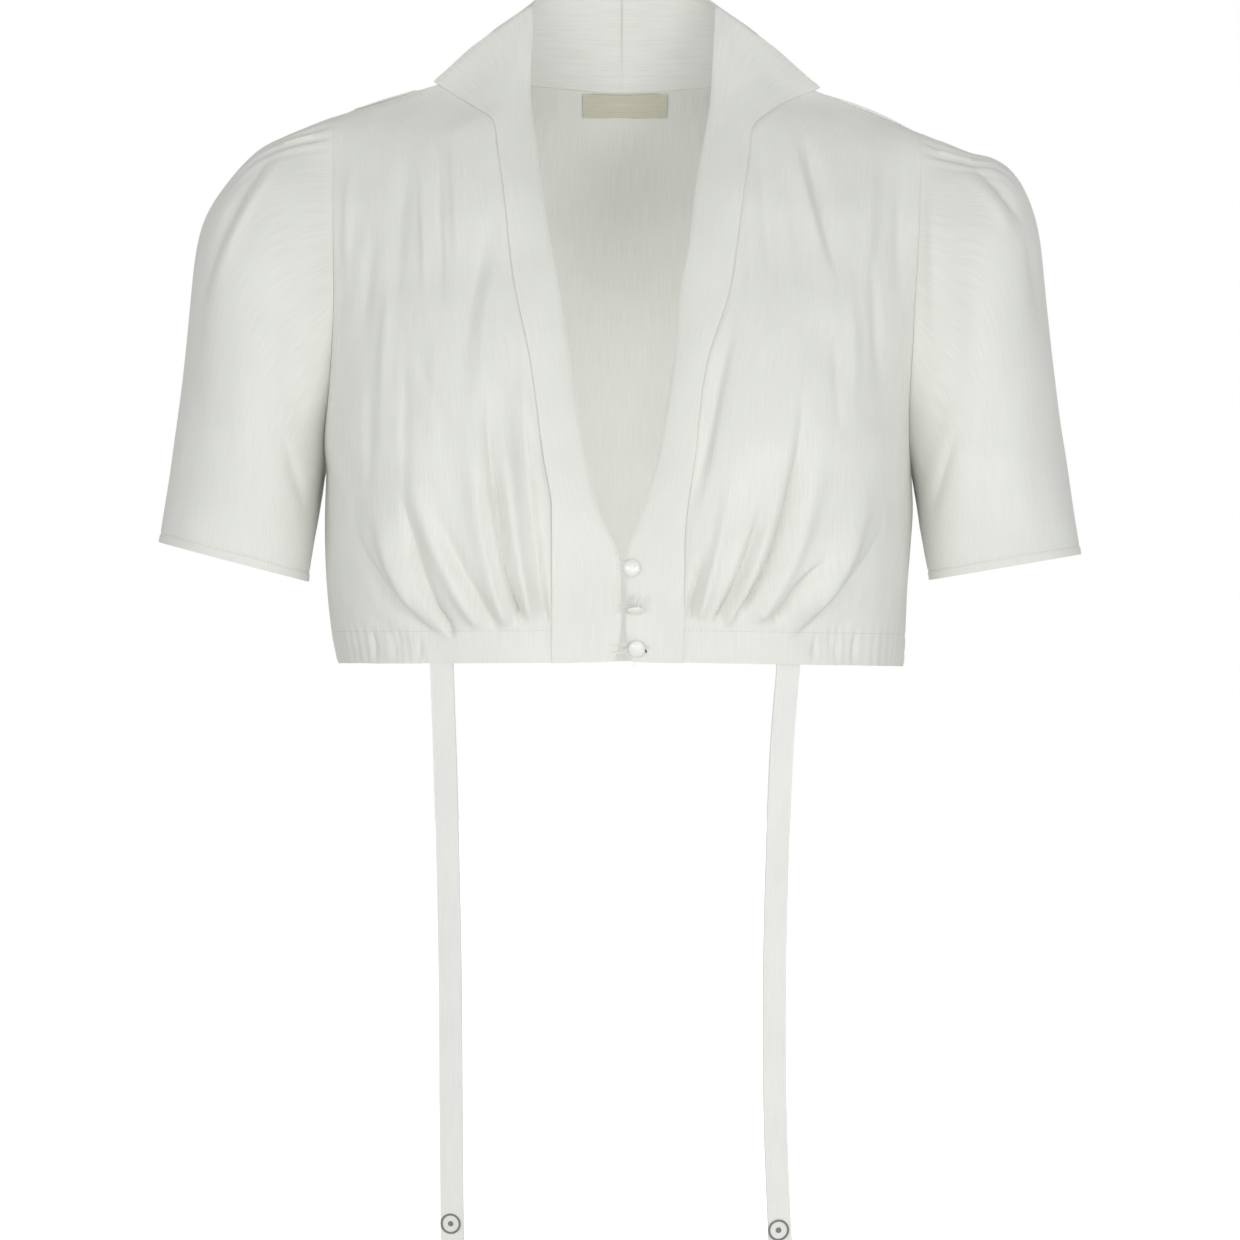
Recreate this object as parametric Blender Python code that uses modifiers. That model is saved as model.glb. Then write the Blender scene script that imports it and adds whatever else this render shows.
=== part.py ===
"""Dirndl blouse: a short blouse with a shawl collar, in its hollow, worn form.

The frame has +Z up and the front facing -Y. The origin is in the middle of the body, level with
the neck ends of the shoulder seams. The tables are in millimetres and the meshes in metres.
"left" and "right" are the viewer's, and "out" is a distance from the middle towards that side.
"""

from collections import namedtuple
import math

import bmesh
import bpy
import numpy as np

MM = 0.001

# Cloth and seams
WALL = 1.3
COLLAR_WALL = 1.7
SEAM_PULL = 0.35
ARMHOLE_PULL = 0.7
CENTRE_PULL = 0.45
RIDGE_PULL = 0.55
SHOULDER_PULL = 0.8
NECK_POINT_PULL = 1.4
CLOTH_COLOUR = (0.72, 0.74, 0.70, 1.0)

# Mesh density
ROW_STEPS = 2
EASE_ROWS = 2
FRONT_COLUMNS = 26
NECK_COLUMNS = 8
SHOULDER_COLUMNS = 4
COLLAR_COLUMNS = 4

# Gathers of the sleeve head
GATHER_SPACING = 11.0
GATHER_HEIGHT = 2.2
GATHER_REACH = 46.0
GATHER_STEP = 4.4
GATHER_RINGS = (0.0, 1.0, 0.9, 0.5, 0.2)

# Buttons and their cord loops
BUTTON_RADIUS = 5.6
BUTTON_HEIGHT = 5.4
SHANK_RADIUS = 1.4
SHANK_HEIGHT = 2.1
LOOP_RADIUS = 0.6
LOOP_TURN = 2.5

# Ties and label
TIE_WIDTH = 15.0
TIE_WALL = 1.2
TIE_TUCK = 8.0
TIE_REST = {"left": 0.2, "right": 0.5}
LABEL_LEFT = -26.4
LABEL_RIGHT = 30.4
LABEL_HEIGHT = 15.2
LABEL_WALL = 1.0
REST_GAP = 0.6

SIGN = {"left": -1.0, "right": 1.0}

Row = namedtuple(
    "Row",
    "name seam_out seam_y seam_z edge_out edge_y edge_z "
    "side_out side_y side_z full_in full_out wide",
)

# Each row is a section of one front. It starts on the seam of the band, whose free edge is the
# second point, and ends on the armhole down to the underarm and on the side seam below it.
FRONT_ROWS = {
    "left": [
        Row("neck point", 122, 12, -2, 60, 24, 50, 191, 18, -23, 0, 0, 0),
        Row("collar side", 110, 2, -10, 59.5, 15, 33, 190.5, 5, -28, 1, 1, 1),
        Row("collar front", 97, -12, -19, 60.7, 5, 12, 190, -7, -40, 4, 4, 3),
        Row("collar corner", 84.5, -26, -29, 60.7, -7, -14, 190, -19, -62, 8, 8, 5),
        Row("upper chest", 81, -42, -50, 56.7, -28, -45, 189.5, -31, -88, 12, 14, 8),
        Row("chest", 76.6, -62, -80, 52.8, -50, -76, 189, -39, -120, 16, 20, 12),
        Row("armhole", 72, -80, -119, 46.5, -74, -115, 188.5, -45, -148, 24, 27, 16),
        Row("over bust", 68, -95, -146, 41.6, -88, -142, 189.5, -46, -176, 34, 36, 22),
        Row("bust", 58.7, -112, -191, 34.5, -103, -187, 192, -39, -207, 50, 48, 30),
        Row("full bust", 50.8, -122, -250, 25.5, -112, -245, 195.5, -24, -237, 70, 64, 42),
        Row("underarm", 45.5, -122, -278, 18.8, -114, -276, 195, -2, -258, 72, 68, 46),
        Row("under bust", 45.1, -121, -298, 10.8, -115, -297, 196, 0, -284, 70, 66, 45),
        Row("top button", 44.9, -118, -315, 2.8, -115, -314, 196, 0, -308, 66, 64, 43),
        Row("overhang", 44.9, -115, -338, 1.4, -113, -337, 195, 0, -332, 62, 58, 41),
        Row("waist seam", 44.9, -111, -362, 1.2, -111, -362, 192.5, 0, -357, 38, 45, 37),
        Row("hem", 44.9, -108, -384, 5.5, -108, -383, 187, 0, -385, 36, 45, 36),
    ],
    "right": [
        Row("neck point", 128, 12, -6, 62, 24, 50, 198, 18, -34, 0, 0, 0),
        Row("collar side", 113, 2, -12, 61.5, 15, 33, 197.5, 5, -39, 1, 1, 1),
        Row("collar front", 98, -12, -21, 60.5, 5, 12, 197, -7, -51, 4, 4, 3),
        Row("collar corner", 86, -26, -33, 58.8, -8, -16, 196, -19, -72, 8, 8, 5),
        Row("upper chest", 83, -42, -53, 53.6, -28, -46, 195, -31, -97, 12, 14, 8),
        Row("chest", 79, -62, -80, 48.6, -50, -76, 193.4, -37, -124, 16, 20, 12),
        Row("armhole", 73.5, -80, -119, 43.9, -74, -115, 191.5, -44, -150, 24, 27, 16),
        Row("over bust", 68, -95, -149, 38.3, -88, -145, 190, -46, -178, 34, 36, 22),
        Row("bust", 54, -112, -194, 33.9, -103, -190, 188.5, -40, -208, 50, 48, 30),
        Row("full bust", 47.5, -122, -248, 25.2, -112, -245, 188.5, -25, -238, 70, 64, 42),
        Row("underarm", 43, -122, -277, 16.6, -114, -276, 191, -2, -260, 72, 68, 46),
        Row("under bust", 40.6, -121, -298, 10, -115, -297, 192, 0, -284, 70, 66, 45),
        Row("top button", 40, -118, -315, 3.8, -115, -314, 190.5, 0, -308, 66, 64, 43),
        Row("overhang", 39.7, -115, -338, 3.4, -113, -337, 188.6, 0, -332, 62, 58, 41),
        Row("waist seam", 39.3, -111, -362, 3.0, -111, -362, 187.4, 0, -357, 38, 45, 37),
        Row("hem", 38.3, -108, -384, 7.0, -108, -383, 185.5, 0, -387, 36, 45, 36),
    ],
}
UNDERARM_ROW = 10

BackRow = namedtuple("BackRow", "name centre_y centre_z blade_out blade_y blade_z turn")

# Each row is a section of the back from the centre over the shoulder blade to the side. The top
# row runs along the neck seam and over the neck point to the shoulder.
BACK_ROWS = [
    BackRow("neck", 68, -3, None, None, None, 0.0),
    BackRow("yoke", 82, -26, 124, 38, -16, 0.0),
    BackRow("shoulder", 94, -60, 125, 64, -46, 0.0),
    BackRow("blade", 101, -102, 126, 81, -92, 0.1),
    BackRow("armhole", 103, -148, 126, 88, -146, 0.3),
    BackRow("under blade", 102, -192, 127, 88, -190, 0.5),
    BackRow("low armhole", 99, -232, 128, 86, -231, 0.8),
    BackRow("underarm", 96, -262, 128, 83, -262, 1.0),
    BackRow("under bust", 94, -288, 127, 80, -288, 1.0),
    BackRow("top button", 93, -312, 126, 78, -312, 1.0),
    BackRow("overhang", 92, -336, 125, 77, -336, 1.0),
    BackRow("waist seam", 91, -361, 123, 76, -361, 1.0),
    BackRow("hem", 90, -384, 120, 75, -385, 1.0),
]

ArmPoint = namedtuple("ArmPoint", "name out y z")

# The back of each armhole, between the shoulder point and the underarm
BACK_ARMHOLE = {
    "left": [
        ArmPoint("yoke", 190, 40, -35),
        ArmPoint("shoulder", 188, 58, -70),
        ArmPoint("blade", 187.5, 67, -114),
        ArmPoint("armhole", 189, 66, -162),
        ArmPoint("under blade", 192, 54, -200),
        ArmPoint("low armhole", 195, 30, -238),
    ],
    "right": [
        ArmPoint("yoke", 197, 40, -46),
        ArmPoint("shoulder", 195, 58, -80),
        ArmPoint("blade", 193, 67, -121),
        ArmPoint("armhole", 190, 66, -166),
        ArmPoint("under blade", 189, 54, -202),
        ArmPoint("low armhole", 189.5, 30, -240),
    ],
}

CollarTop = namedtuple("CollarTop", "name out y z")

# The free top edge of the collar behind the neck, from the neck point to the centre back
COLLAR_TOP = [
    CollarTop("side back", 52, 42, 59),
    CollarTop("back", 29, 56, 65),
    CollarTop("centre back", 0, 61, 67),
]

Ring = namedtuple("Ring", "name head_out head_z under_out under_z half_depth mid_y")

# Each ring of a sleeve hangs between the head line, seen from the front, and the underarm line.
# The first one gives the armhole's size, and the sleeve itself starts on the armhole's points.
SLEEVE_RINGS = {
    "left": [
        Ring("armhole", 191, -23, 195, -258, 58, 12),
        Ring("gathers", 205, -30, 196, -263, 64, 12),
        Ring("head", 222, -37, 197.2, -268, 70, 12),
        Ring("cap", 241, -47, 198.2, -273, 75, 12),
        Ring("crown", 259, -65, 199.2, -279, 77, 11),
        Ring("upper arm", 272, -84, 200.2, -286, 77, 10),
        Ring("biceps", 280, -108, 201.4, -294, 75, 9),
        Ring("middle", 285.5, -150, 202.8, -303, 71, 7),
        Ring("lower", 290.5, -200, 204.2, -312, 66, 5),
        Ring("over hem", 297, -250, 205.6, -321, 60, 3),
        Ring("hem", 305.6, -305, 207, -331, 53, 2),
    ],
    "right": [
        Ring("armhole", 198, -34, 191, -260, 58, 12),
        Ring("gathers", 212, -41, 192, -265, 64, 12),
        Ring("head", 229, -48, 193, -270, 70, 12),
        Ring("cap", 246, -52, 194, -275, 75, 12),
        Ring("crown", 259, -61, 195, -281, 77, 11),
        Ring("upper arm", 269, -79, 196, -288, 77, 10),
        Ring("biceps", 276, -105, 197.2, -296, 75, 9),
        Ring("middle", 281, -150, 198.6, -304, 71, 7),
        Ring("lower", 286, -198, 200, -313, 66, 5),
        Ring("over hem", 294, -256, 201.5, -321, 60, 3),
        Ring("hem", 303, -313, 203, -330, 53, 2),
    ],
}
BLEND_RINGS = 4

Fold = namedtuple("Fold", "name low_out low_z bend_out bend_z top_out top_z width height")

# Folds of the fronts as seen from the front. A positive height is a ridge, a negative one a
# hollow, and each fades out at both ends.
FOLDS = {
    "left": [
        Fold("pleat A hollow", 45, -361, 57, -300, 68, -150, 9, -4.0),
        Fold("pleat A ridge", 54, -360, 72, -300, 77, -180, 9, 4.5),
        Fold("pleat B hollow", 63.5, -361, 84, -315, 88, -190, 8, -4.5),
        Fold("pleat B ridge", 72, -361, 101, -310, 96, -170, 10, 4.5),
        Fold("pleat C hollow", 80, -362, 102, -330, 134, -262, 8, -4.0),
        Fold("pleat C ridge", 91, -362, 120, -325, 141, -235, 10, 5.0),
        Fold("pleat D hollow", 108, -366, 134, -335, 144, -262, 8, -4.5),
        Fold("overhang ridge", 116, -362, 150, -335, 160, -280, 12, 6.0),
        Fold("overhang hollow", 104, -372, 156, -355, 176, -292, 9, -4.0),
        Fold("side gather 1", 131, -386, 131, -377, 132, -366, 5, -1.5),
        Fold("side gather 2", 162, -386, 162, -375, 164, -360, 6, -2.0),
        Fold("chest hollow", 100, -225, 107, -160, 79, -82, 8, -3.0),
        Fold("chest ridge", 105, -140, 107, -90, 113, -20, 8, 3.0),
        Fold("shoulder hollow", 150, -160, 147, -100, 140, -30, 10, -3.0),
        Fold("shoulder ridge", 155, -230, 154, -150, 150, -90, 9, 2.5),
        Fold("armhole hollow", 170, -185, 168, -130, 160, -90, 9, -2.5),
    ],
    "right": [
        Fold("pleat A hollow", 40.5, -358, 46, -300, 76, -150, 8, -3.5),
        Fold("pleat A ridge", 50, -358, 62, -325, 76, -240, 8, 4.5),
        Fold("pleat B hollow", 58.5, -360, 76, -330, 98, -262, 7.5, -4.5),
        Fold("pleat B ridge", 65, -360, 91, -330, 107, -235, 8, 4.5),
        Fold("pleat C hollow", 70, -358, 116, -305, 117, -190, 8, -5.0),
        Fold("pleat C ridge", 84, -359, 118, -325, 131, -225, 11, 5.0),
        Fold("pleat D hollow", 97, -359, 112, -332, 142, -311, 8, -4.5),
        Fold("overhang ridge", 106, -359, 146, -338, 164, -255, 12, 6.0),
        Fold("overhang hollow", 100, -374, 146, -352, 171, -290, 9, -4.0),
        Fold("side gather 1", 124, -384, 124, -375, 128, -362, 6, -2.0),
        Fold("side gather 2", 150, -386, 151, -375, 154, -360, 6, -2.0),
        Fold("chest hollow", 97, -170, 95, -90, 87, -30, 8, -2.5),
        Fold("shoulder hollow", 144, -150, 126, -85, 117, -28, 8, -3.5),
        Fold("shoulder ridge", 150, -135, 135, -80, 127, -30, 8, 2.5),
        Fold("bust ridge", 134, -275, 138, -230, 132, -175, 9, 2.0),
        Fold("armhole hollow", 168, -215, 166, -160, 160, -100, 9, -2.5),
    ],
}
FOLD_RISE = 0.12
FOLD_FADE = 0.4

Button = namedtuple("Button", "name out z tilt loop_rise loop_fall")

# The tilt turns a button's face down in degrees, and its loop starts and ends on the left band
BUTTONS = [
    Button("top", 6.4, -323, 0, 9.5, -0.5),
    Button("middle", 8.6, -350, 70, 2.2, -1.6),
    Button("bottom", 9.4, -375, 12, 2.6, -2.2),
]
LOOP_START = -7.0
BAND_ROWS = 10

TiePoint = namedtuple("TiePoint", "name out z")

# The middle of each hanging tie below the hem
TIES = {
    "left": [
        TiePoint("hem", 116.8, -387),
        TiePoint("upper", 113.9, -475),
        TiePoint("middle", 111.5, -585),
        TiePoint("lower", 110.9, -673),
        TiePoint("tip", 110.0, -764),
    ],
    "right": [
        TiePoint("hem", 107.6, -389),
        TiePoint("upper", 103.0, -450),
        TiePoint("middle", 99.2, -570),
        TiePoint("lower", 99.3, -673),
        TiePoint("tip", 102.8, -766),
    ],
}
TIE_SLANT = 6.5
TIE_ROWS = 14


def smooth(points, steps):
    """Sample an even curve through the points, with this many steps between two of them."""
    points = [np.array(point, float) for point in points]
    before = 2 * points[0] - points[1]
    after = 2 * points[-1] - points[-2]
    padded = [before] + points + [after]
    sampled = []
    for index in range(len(points) - 1):
        p0, p1, p2, p3 = padded[index:index + 4]
        for step in range(steps):
            t = step / steps
            sampled.append(
                p1
                + 0.5 * t * (p2 - p0)
                + t * t * (p0 - 2.5 * p1 + 2 * p2 - 0.5 * p3)
                + t ** 3 * (1.5 * (p1 - p2) + 0.5 * (p3 - p0))
            )
    sampled.append(points[-1])
    return np.array(sampled)


def along(points, count):
    """Share out this many even steps along a sampled curve."""
    lengths = np.linalg.norm(np.diff(points, axis=0), axis=1)
    reach = np.concatenate([[0.0], np.cumsum(lengths)])
    wanted = np.linspace(0.0, reach[-1], count + 1)
    return np.column_stack([np.interp(wanted, reach, points[:, axis]) for axis in range(3)])


def unit(vector):
    return vector / max(np.linalg.norm(vector), 1e-9)


def fade(value):
    """Rise evenly from 0 to 1."""
    value = np.clip(value, 0.0, 1.0)
    return value * value * (3 - 2 * value)


def placed(side, out, y, z):
    return np.array([SIGN[side] * out, y, z], float)


def front_seam(side):
    points = [placed(side, row.seam_out, row.seam_y, row.seam_z) for row in FRONT_ROWS[side]]
    return smooth(points, ROW_STEPS)


def front_edge(side):
    points = [placed(side, row.edge_out, row.edge_y, row.edge_z) for row in FRONT_ROWS[side]]
    return smooth(points, ROW_STEPS)


def front_armhole(side):
    rows = FRONT_ROWS[side][:UNDERARM_ROW + 1]
    return smooth([placed(side, row.side_out, row.side_y, row.side_z) for row in rows], ROW_STEPS)


def side_seam(side):
    rows = FRONT_ROWS[side][UNDERARM_ROW:]
    return smooth([placed(side, row.side_out, row.side_y, row.side_z) for row in rows], ROW_STEPS)


def back_armhole(side):
    shoulder = front_armhole(side)[0]
    underarm = side_seam(side)[0]
    middle = [placed(side, point.out, point.y, point.z) for point in BACK_ARMHOLE[side]]
    return smooth([shoulder] + middle + [underarm], ROW_STEPS)


def fold_height(out, z, folds):
    """Add up the folds at one place of a front, seen from the front."""
    total = 0.0
    place = np.array([out, z])
    t = np.linspace(0.0, 1.0, 25)[:, None]
    for fold in folds:
        low = np.array([fold.low_out, fold.low_z])
        bend = np.array([fold.bend_out, fold.bend_z])
        top = np.array([fold.top_out, fold.top_z])
        path = (1 - t) ** 2 * low + 2 * t * (1 - t) * bend + t ** 2 * top
        starts, runs = path[:-1], np.diff(path, axis=0)
        shares = ((place - starts) * runs).sum(axis=1) / (runs * runs).sum(axis=1)
        shares = np.clip(shares, 0.0, 1.0)
        distances = np.linalg.norm(starts + shares[:, None] * runs - place, axis=1)
        nearest = int(np.argmin(distances))
        across = distances[nearest] / fold.width
        if across < 1.6:
            reached = (nearest + shares[nearest]) / len(runs)
            ends = fade(reached / FOLD_RISE) * fade((1 - reached) / FOLD_FADE)
            total += fold.height * ends * math.exp(-2.0 * across * across)
    return total


def grid_normals(grid, flip):
    down = np.gradient(grid, axis=0)
    across = np.gradient(grid, axis=1)
    normals = np.cross(across, down)
    normals /= np.maximum(np.linalg.norm(normals, axis=2, keepdims=True), 1e-9)
    return -normals if flip else normals


def pull_back(grid, **gaps):
    """Move the named edges of a grid towards its middle, each by its own gap or list of gaps."""
    grid = grid.copy()
    views = {
        "top": (grid[0], grid[1]),
        "bottom": (grid[-1], grid[-2]),
        "inner": (grid[:, 0], grid[:, 1]),
        "outer": (grid[:, -1], grid[:, -2]),
    }
    for edge, gap in gaps.items():
        line, beside = views[edge]
        toward = beside - line
        toward /= np.maximum(np.linalg.norm(toward, axis=1, keepdims=True), 1e-9)
        line += np.broadcast_to(np.reshape(gap, (-1, 1)), (len(line), 1)) * toward
    return grid


def side_pull(rows):
    """List the pull of one outer edge: its armhole first and its side seam last."""
    below = (len(FRONT_ROWS["left"]) - 1 - UNDERARM_ROW) * ROW_STEPS + 1
    return [ARMHOLE_PULL] * (rows - below) + [RIDGE_PULL] * below


def ease_corner(line):
    """Round a sampled line's corners, so that the cloth beside it bends evenly."""
    eased = line.copy()
    for index in range(len(line)):
        span = min(EASE_ROWS * ROW_STEPS, index, len(line) - 1 - index)
        weights = 1 + np.cos(np.pi * np.arange(-span, span + 1) / (span + 1))
        near = line[index - span:index + span + 1]
        eased[index] = np.tensordot(weights / weights.sum(), near, axes=1)
    return eased


def front_grid(side):
    """Lay out one front: rows run down from the shoulder, columns from the band to the side."""
    seam = front_seam(side)
    outer = np.concatenate([front_armhole(side), side_seam(side)[1:]])
    eased = ease_corner(outer)
    shape = smooth([[row.full_in, row.full_out, row.wide] for row in FRONT_ROWS[side]], ROW_STEPS)
    across = (np.arange(FRONT_COLUMNS + 1) / FRONT_COLUMNS) ** 1.2
    grid = np.zeros((len(seam), FRONT_COLUMNS + 1, 3))
    for index, (start, end) in enumerate(zip(seam, outer)):
        full_in, full_out, wide = shape[index]
        toward = eased[index] - start
        handle_in = start + toward / 3 + [0, -full_in, 0]
        handle_out = start + toward * 2 / 3 + [SIGN[side] * wide, -full_out, 0]
        for column, t in enumerate(across):
            grid[index, column] = (
                (1 - t) ** 3 * start
                + 3 * t * (1 - t) ** 2 * handle_in
                + 3 * t * t * (1 - t) * handle_out
                + t ** 3 * end
            )
    normals = grid_normals(grid, side == "right")
    rows, columns = grid.shape[:2]
    for row in range(1, rows):
        for column in range(1, columns - 1):
            x, _, z = grid[row, column]
            calm = min(1.0, column / 2, (columns - 1 - column) / 4)
            height = fold_height(abs(x), z, FOLDS[side]) * calm
            grid[row, column] += height * normals[row, column]
    return grid


def back_row(centre, blade, end, turn):
    """Sample half a section of the back from its centre to one side."""
    to_blade, to_end = blade - centre, end - blade
    blade_length, end_length = np.linalg.norm(to_blade), np.linalg.norm(to_end)
    heading = unit(unit(to_blade) + unit(to_end))
    natural = unit(2 * unit(to_end) - heading)
    last = unit((1 - turn) * natural + turn * np.array([0.0, -1.0, 0.0]))
    first = np.array([math.copysign(abs(to_blade[0]), to_blade[0]), 0.0, 0.0])
    pieces = [
        (centre, blade, first, heading * blade_length, NECK_COLUMNS),
        (blade, end, heading * end_length, last * end_length, SHOULDER_COLUMNS),
    ]
    points = []
    for start, stop, leave, arrive, steps in pieces:
        for step in range(steps):
            t = step / steps
            points.append(
                (2 * t ** 3 - 3 * t * t + 1) * start
                + (t ** 3 - 2 * t * t + t) * leave
                + (3 * t * t - 2 * t ** 3) * stop
                + (t ** 3 - t * t) * arrive
            )
    points.append(end)
    return points


def back_half(side):
    """Lay out half the back: rows run down from the neck, columns from the centre to the side."""
    outer = np.concatenate([back_armhole(side), side_seam(side)[1:]])
    neck_point = front_seam(side)[0]
    centres = smooth([[0, row.centre_y, row.centre_z] for row in BACK_ROWS], ROW_STEPS)
    blades = [neck_point]
    blades += [placed(side, row.blade_out, row.blade_y, row.blade_z) for row in BACK_ROWS[1:]]
    blades = smooth(blades, ROW_STEPS)
    turns = smooth([[row.turn, 0, 0] for row in BACK_ROWS], ROW_STEPS)[:, 0]
    rows = []
    for centre, blade, end, turn in zip(centres, blades, outer, turns):
        rows.append(back_row(centre, blade, end, turn))
    grid = np.array(rows)
    for column in range(SHOULDER_COLUMNS + 1):
        share = column / SHOULDER_COLUMNS
        grid[0, NECK_COLUMNS + column] = (1 - share) * neck_point + share * outer[0]
    return grid


def back_grid():
    left, right = back_half("left"), back_half("right")
    return np.concatenate([left[:, ::-1], right[:, 1:]], axis=1)


def collar_grid(side):
    """Lay out half the collar: rows run from the hem up the band and round to the centre back."""
    behind = back_half(side)[0, :NECK_COLUMNS + 1][::-1]
    seam = np.concatenate([front_seam(side)[::-1], behind[1:]])
    top = [front_edge(side)[0]] + [placed(side, top.out, top.y, top.z) for top in COLLAR_TOP]
    top = along(smooth(top, 4), NECK_COLUMNS)
    edge = np.concatenate([front_edge(side)[::-1], top[1:]])
    share = np.linspace(0.0, 1.0, COLLAR_COLUMNS + 1)[None, :, None]
    grid = seam[:, None, :] * (1 - share) + edge[:, None, :] * share
    normals = grid_normals(grid, side == "right")
    height = np.linspace(0.0, 1.0, len(seam))[:, None, None]
    round_out = 1.0 + 3.0 * fade((height - 0.55) / 0.3)
    return grid + normals * round_out * 4 * share * (1 - share)


def sleeve_grid(side):
    """Lay out one sleeve: rows are rings from the armhole to the hem."""
    front, back = front_armhole(side), back_armhole(side)[::-1]
    ring = np.concatenate([front, back[1:]])
    steps = np.linalg.norm(np.diff(ring, axis=0), axis=1)
    reach = np.concatenate([[0.0], np.cumsum(steps)])
    points, places = [], []
    for index, step in enumerate(steps):
        near = min(reach[index], reach[-1] - reach[index + 1]) < GATHER_REACH
        parts = math.ceil(step / GATHER_STEP) if near else 1
        for part in range(parts):
            share = part / parts
            points.append((1 - share) * ring[index] + share * ring[index + 1])
            places.append(reach[index] + share * step)
    points, places = np.array(points), np.array(places)
    half = reach[len(front) - 1]
    angles = np.where(
        places <= half,
        math.pi * places / half,
        math.pi * (1 + (places - half) / (reach[-1] - half)),
    )
    from_top = np.minimum(places, reach[-1] - places)
    gather = np.cos(2 * math.pi * from_top / GATHER_SPACING) * fade(2 - 2 * from_top / GATHER_REACH)

    def plain_ring(row):
        down = (1 - np.cos(angles)) / 2
        out = row.head_out + (row.under_out - row.head_out) * down
        z = row.head_z + (row.under_z - row.head_z) * down
        y = row.mid_y - row.half_depth * np.sin(angles)
        return np.column_stack([SIGN[side] * out, y, z])

    rows = SLEEVE_RINGS[side]
    offset = points - plain_ring(rows[0])
    rings = []
    for index, row in enumerate(rows):
        keep = max(0.0, 1 - index / BLEND_RINGS) ** 2
        rings.append(plain_ring(row) + keep * offset)
    grid = np.array(rings)
    centre = grid.mean(axis=1, keepdims=True)
    outward = grid - centre
    outward /= np.linalg.norm(outward, axis=2, keepdims=True)
    for index, share in enumerate(GATHER_RINGS):
        grid[index] += GATHER_HEIGHT * share * gather[:, None] * outward[index]
    return grid


def material(name, colour, roughness):
    made = bpy.data.materials.new(name)
    made.use_nodes = True
    shader = made.node_tree.nodes["Principled BSDF"]
    shader.inputs["Base Color"].default_value = colour
    shader.inputs["Roughness"].default_value = roughness
    shader.inputs["Metallic"].default_value = 0.0
    return made


def add_object(name, mesh, colour, roughness):
    made = bpy.data.objects.new(name, mesh)
    mesh.materials.append(material(name, colour, roughness))
    blouse.objects.link(made)
    return made


def cloth(name, grid, wall, flip=False, ring=False, colour=CLOTH_COLOUR):
    """Make a wall of cloth from a grid of its outer points."""
    mesh = bpy.data.meshes.new(name)
    shell = bmesh.new()
    rows, columns = grid.shape[:2]
    verts = [[shell.verts.new(point * MM) for point in row] for row in grid]
    for row in range(rows - 1):
        for column in range(columns if ring else columns - 1):
            after = (column + 1) % columns
            # The first corner turns each quad's diagonal up and outwards, as the pleats run
            corners = [
                verts[row + 1][column],
                verts[row][column],
                verts[row][after],
                verts[row + 1][after],
            ]
            if flip:
                corners = corners[:1] + corners[:0:-1]
            shell.faces.new(corners)
    shell.to_mesh(mesh)
    shell.free()
    mesh.shade_smooth()
    made = add_object(name, mesh, colour, 0.85)
    solidify = made.modifiers.new("Wall", "SOLIDIFY")
    solidify.thickness = wall * MM
    solidify.offset = -1.0
    solidify.use_even_offset = False


def on_panel(grid, row, column):
    """Read a place on a panel between its points."""
    top, left = min(int(row), grid.shape[0] - 2), min(int(column), grid.shape[1] - 2)
    down, across = row - top, column - left
    upper = (1 - across) * grid[top, left] + across * grid[top, left + 1]
    lower = (1 - across) * grid[top + 1, left] + across * grid[top + 1, left + 1]
    return (1 - down) * upper + down * lower


def add_label(back):
    """Lay the label on the inside of the back, under the neck seam."""
    middle = NECK_COLUMNS + SHOULDER_COLUMNS
    right_step = back[0, middle + 1, 0] - back[0, middle, 0]
    left_step = back[0, middle, 0] - back[0, middle - 1, 0]
    columns = np.linspace(LABEL_LEFT / left_step, LABEL_RIGHT / right_step, 9) + middle
    drop = back[0, middle, 2] - back[1, middle, 2]
    rows = np.linspace(0.06, 0.06 + LABEL_HEIGHT / drop, 4)
    grid = np.array([[on_panel(back, row, column) for column in columns] for row in rows])
    inward = -grid_normals(grid, False)
    grid += inward * (WALL + REST_GAP)
    cloth("label", grid, LABEL_WALL, flip=False, colour=(0.60, 0.57, 0.45, 1.0))


def band_front(collars, out, z):
    """Find the foremost Y of the two bands at one height and distance from the middle."""
    nearest = []
    for grid in collars:
        band = grid[:BAND_ROWS]
        y = []
        for column in range(band.shape[1]):
            y.append(np.interp([z - 3, z, z + 3], band[:, column, 2], band[:, column, 1]))
        outs = np.abs(band[0, ::-1, 0])
        y = np.array(y)[::-1]
        nearest += [np.interp(out, outs, y[:, place]) for place in range(3)]
    return min(nearest)


def add_button(button, base):
    """Turn a domed button on its shank, with its flat end at the base."""
    profile = [(0.0, BUTTON_HEIGHT)]
    profile.append((BUTTON_RADIUS * 0.55, BUTTON_HEIGHT * 0.95))
    profile.append((BUTTON_RADIUS * 0.88, BUTTON_HEIGHT * 0.80))
    profile.append((BUTTON_RADIUS, BUTTON_HEIGHT * 0.62))
    profile.append((BUTTON_RADIUS * 0.94, BUTTON_HEIGHT * 0.46))
    profile.append((BUTTON_RADIUS * 0.70, SHANK_HEIGHT))
    profile.append((SHANK_RADIUS, SHANK_HEIGHT))
    profile.append((SHANK_RADIUS, 0.0))
    profile.append((0.0, 0.0))
    mesh = bpy.data.meshes.new("button_" + button.name)
    verts = [(radius * MM, 0.0, height * MM) for radius, height in profile]
    mesh.from_pydata(verts, [(index, index + 1) for index in range(len(verts) - 1)], [])
    made = add_object("button_" + button.name, mesh, (0.86, 0.87, 0.85, 1.0), 0.25)
    turn = made.modifiers.new("Turn", "SCREW")
    turn.steps = 16
    turn.render_steps = 16
    turn.use_merge_vertices = True
    turn.merge_threshold = 0.00005
    made.location = base * MM
    made.rotation_euler = (math.radians(90 + button.tilt), 0.0, 0.0)


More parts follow.
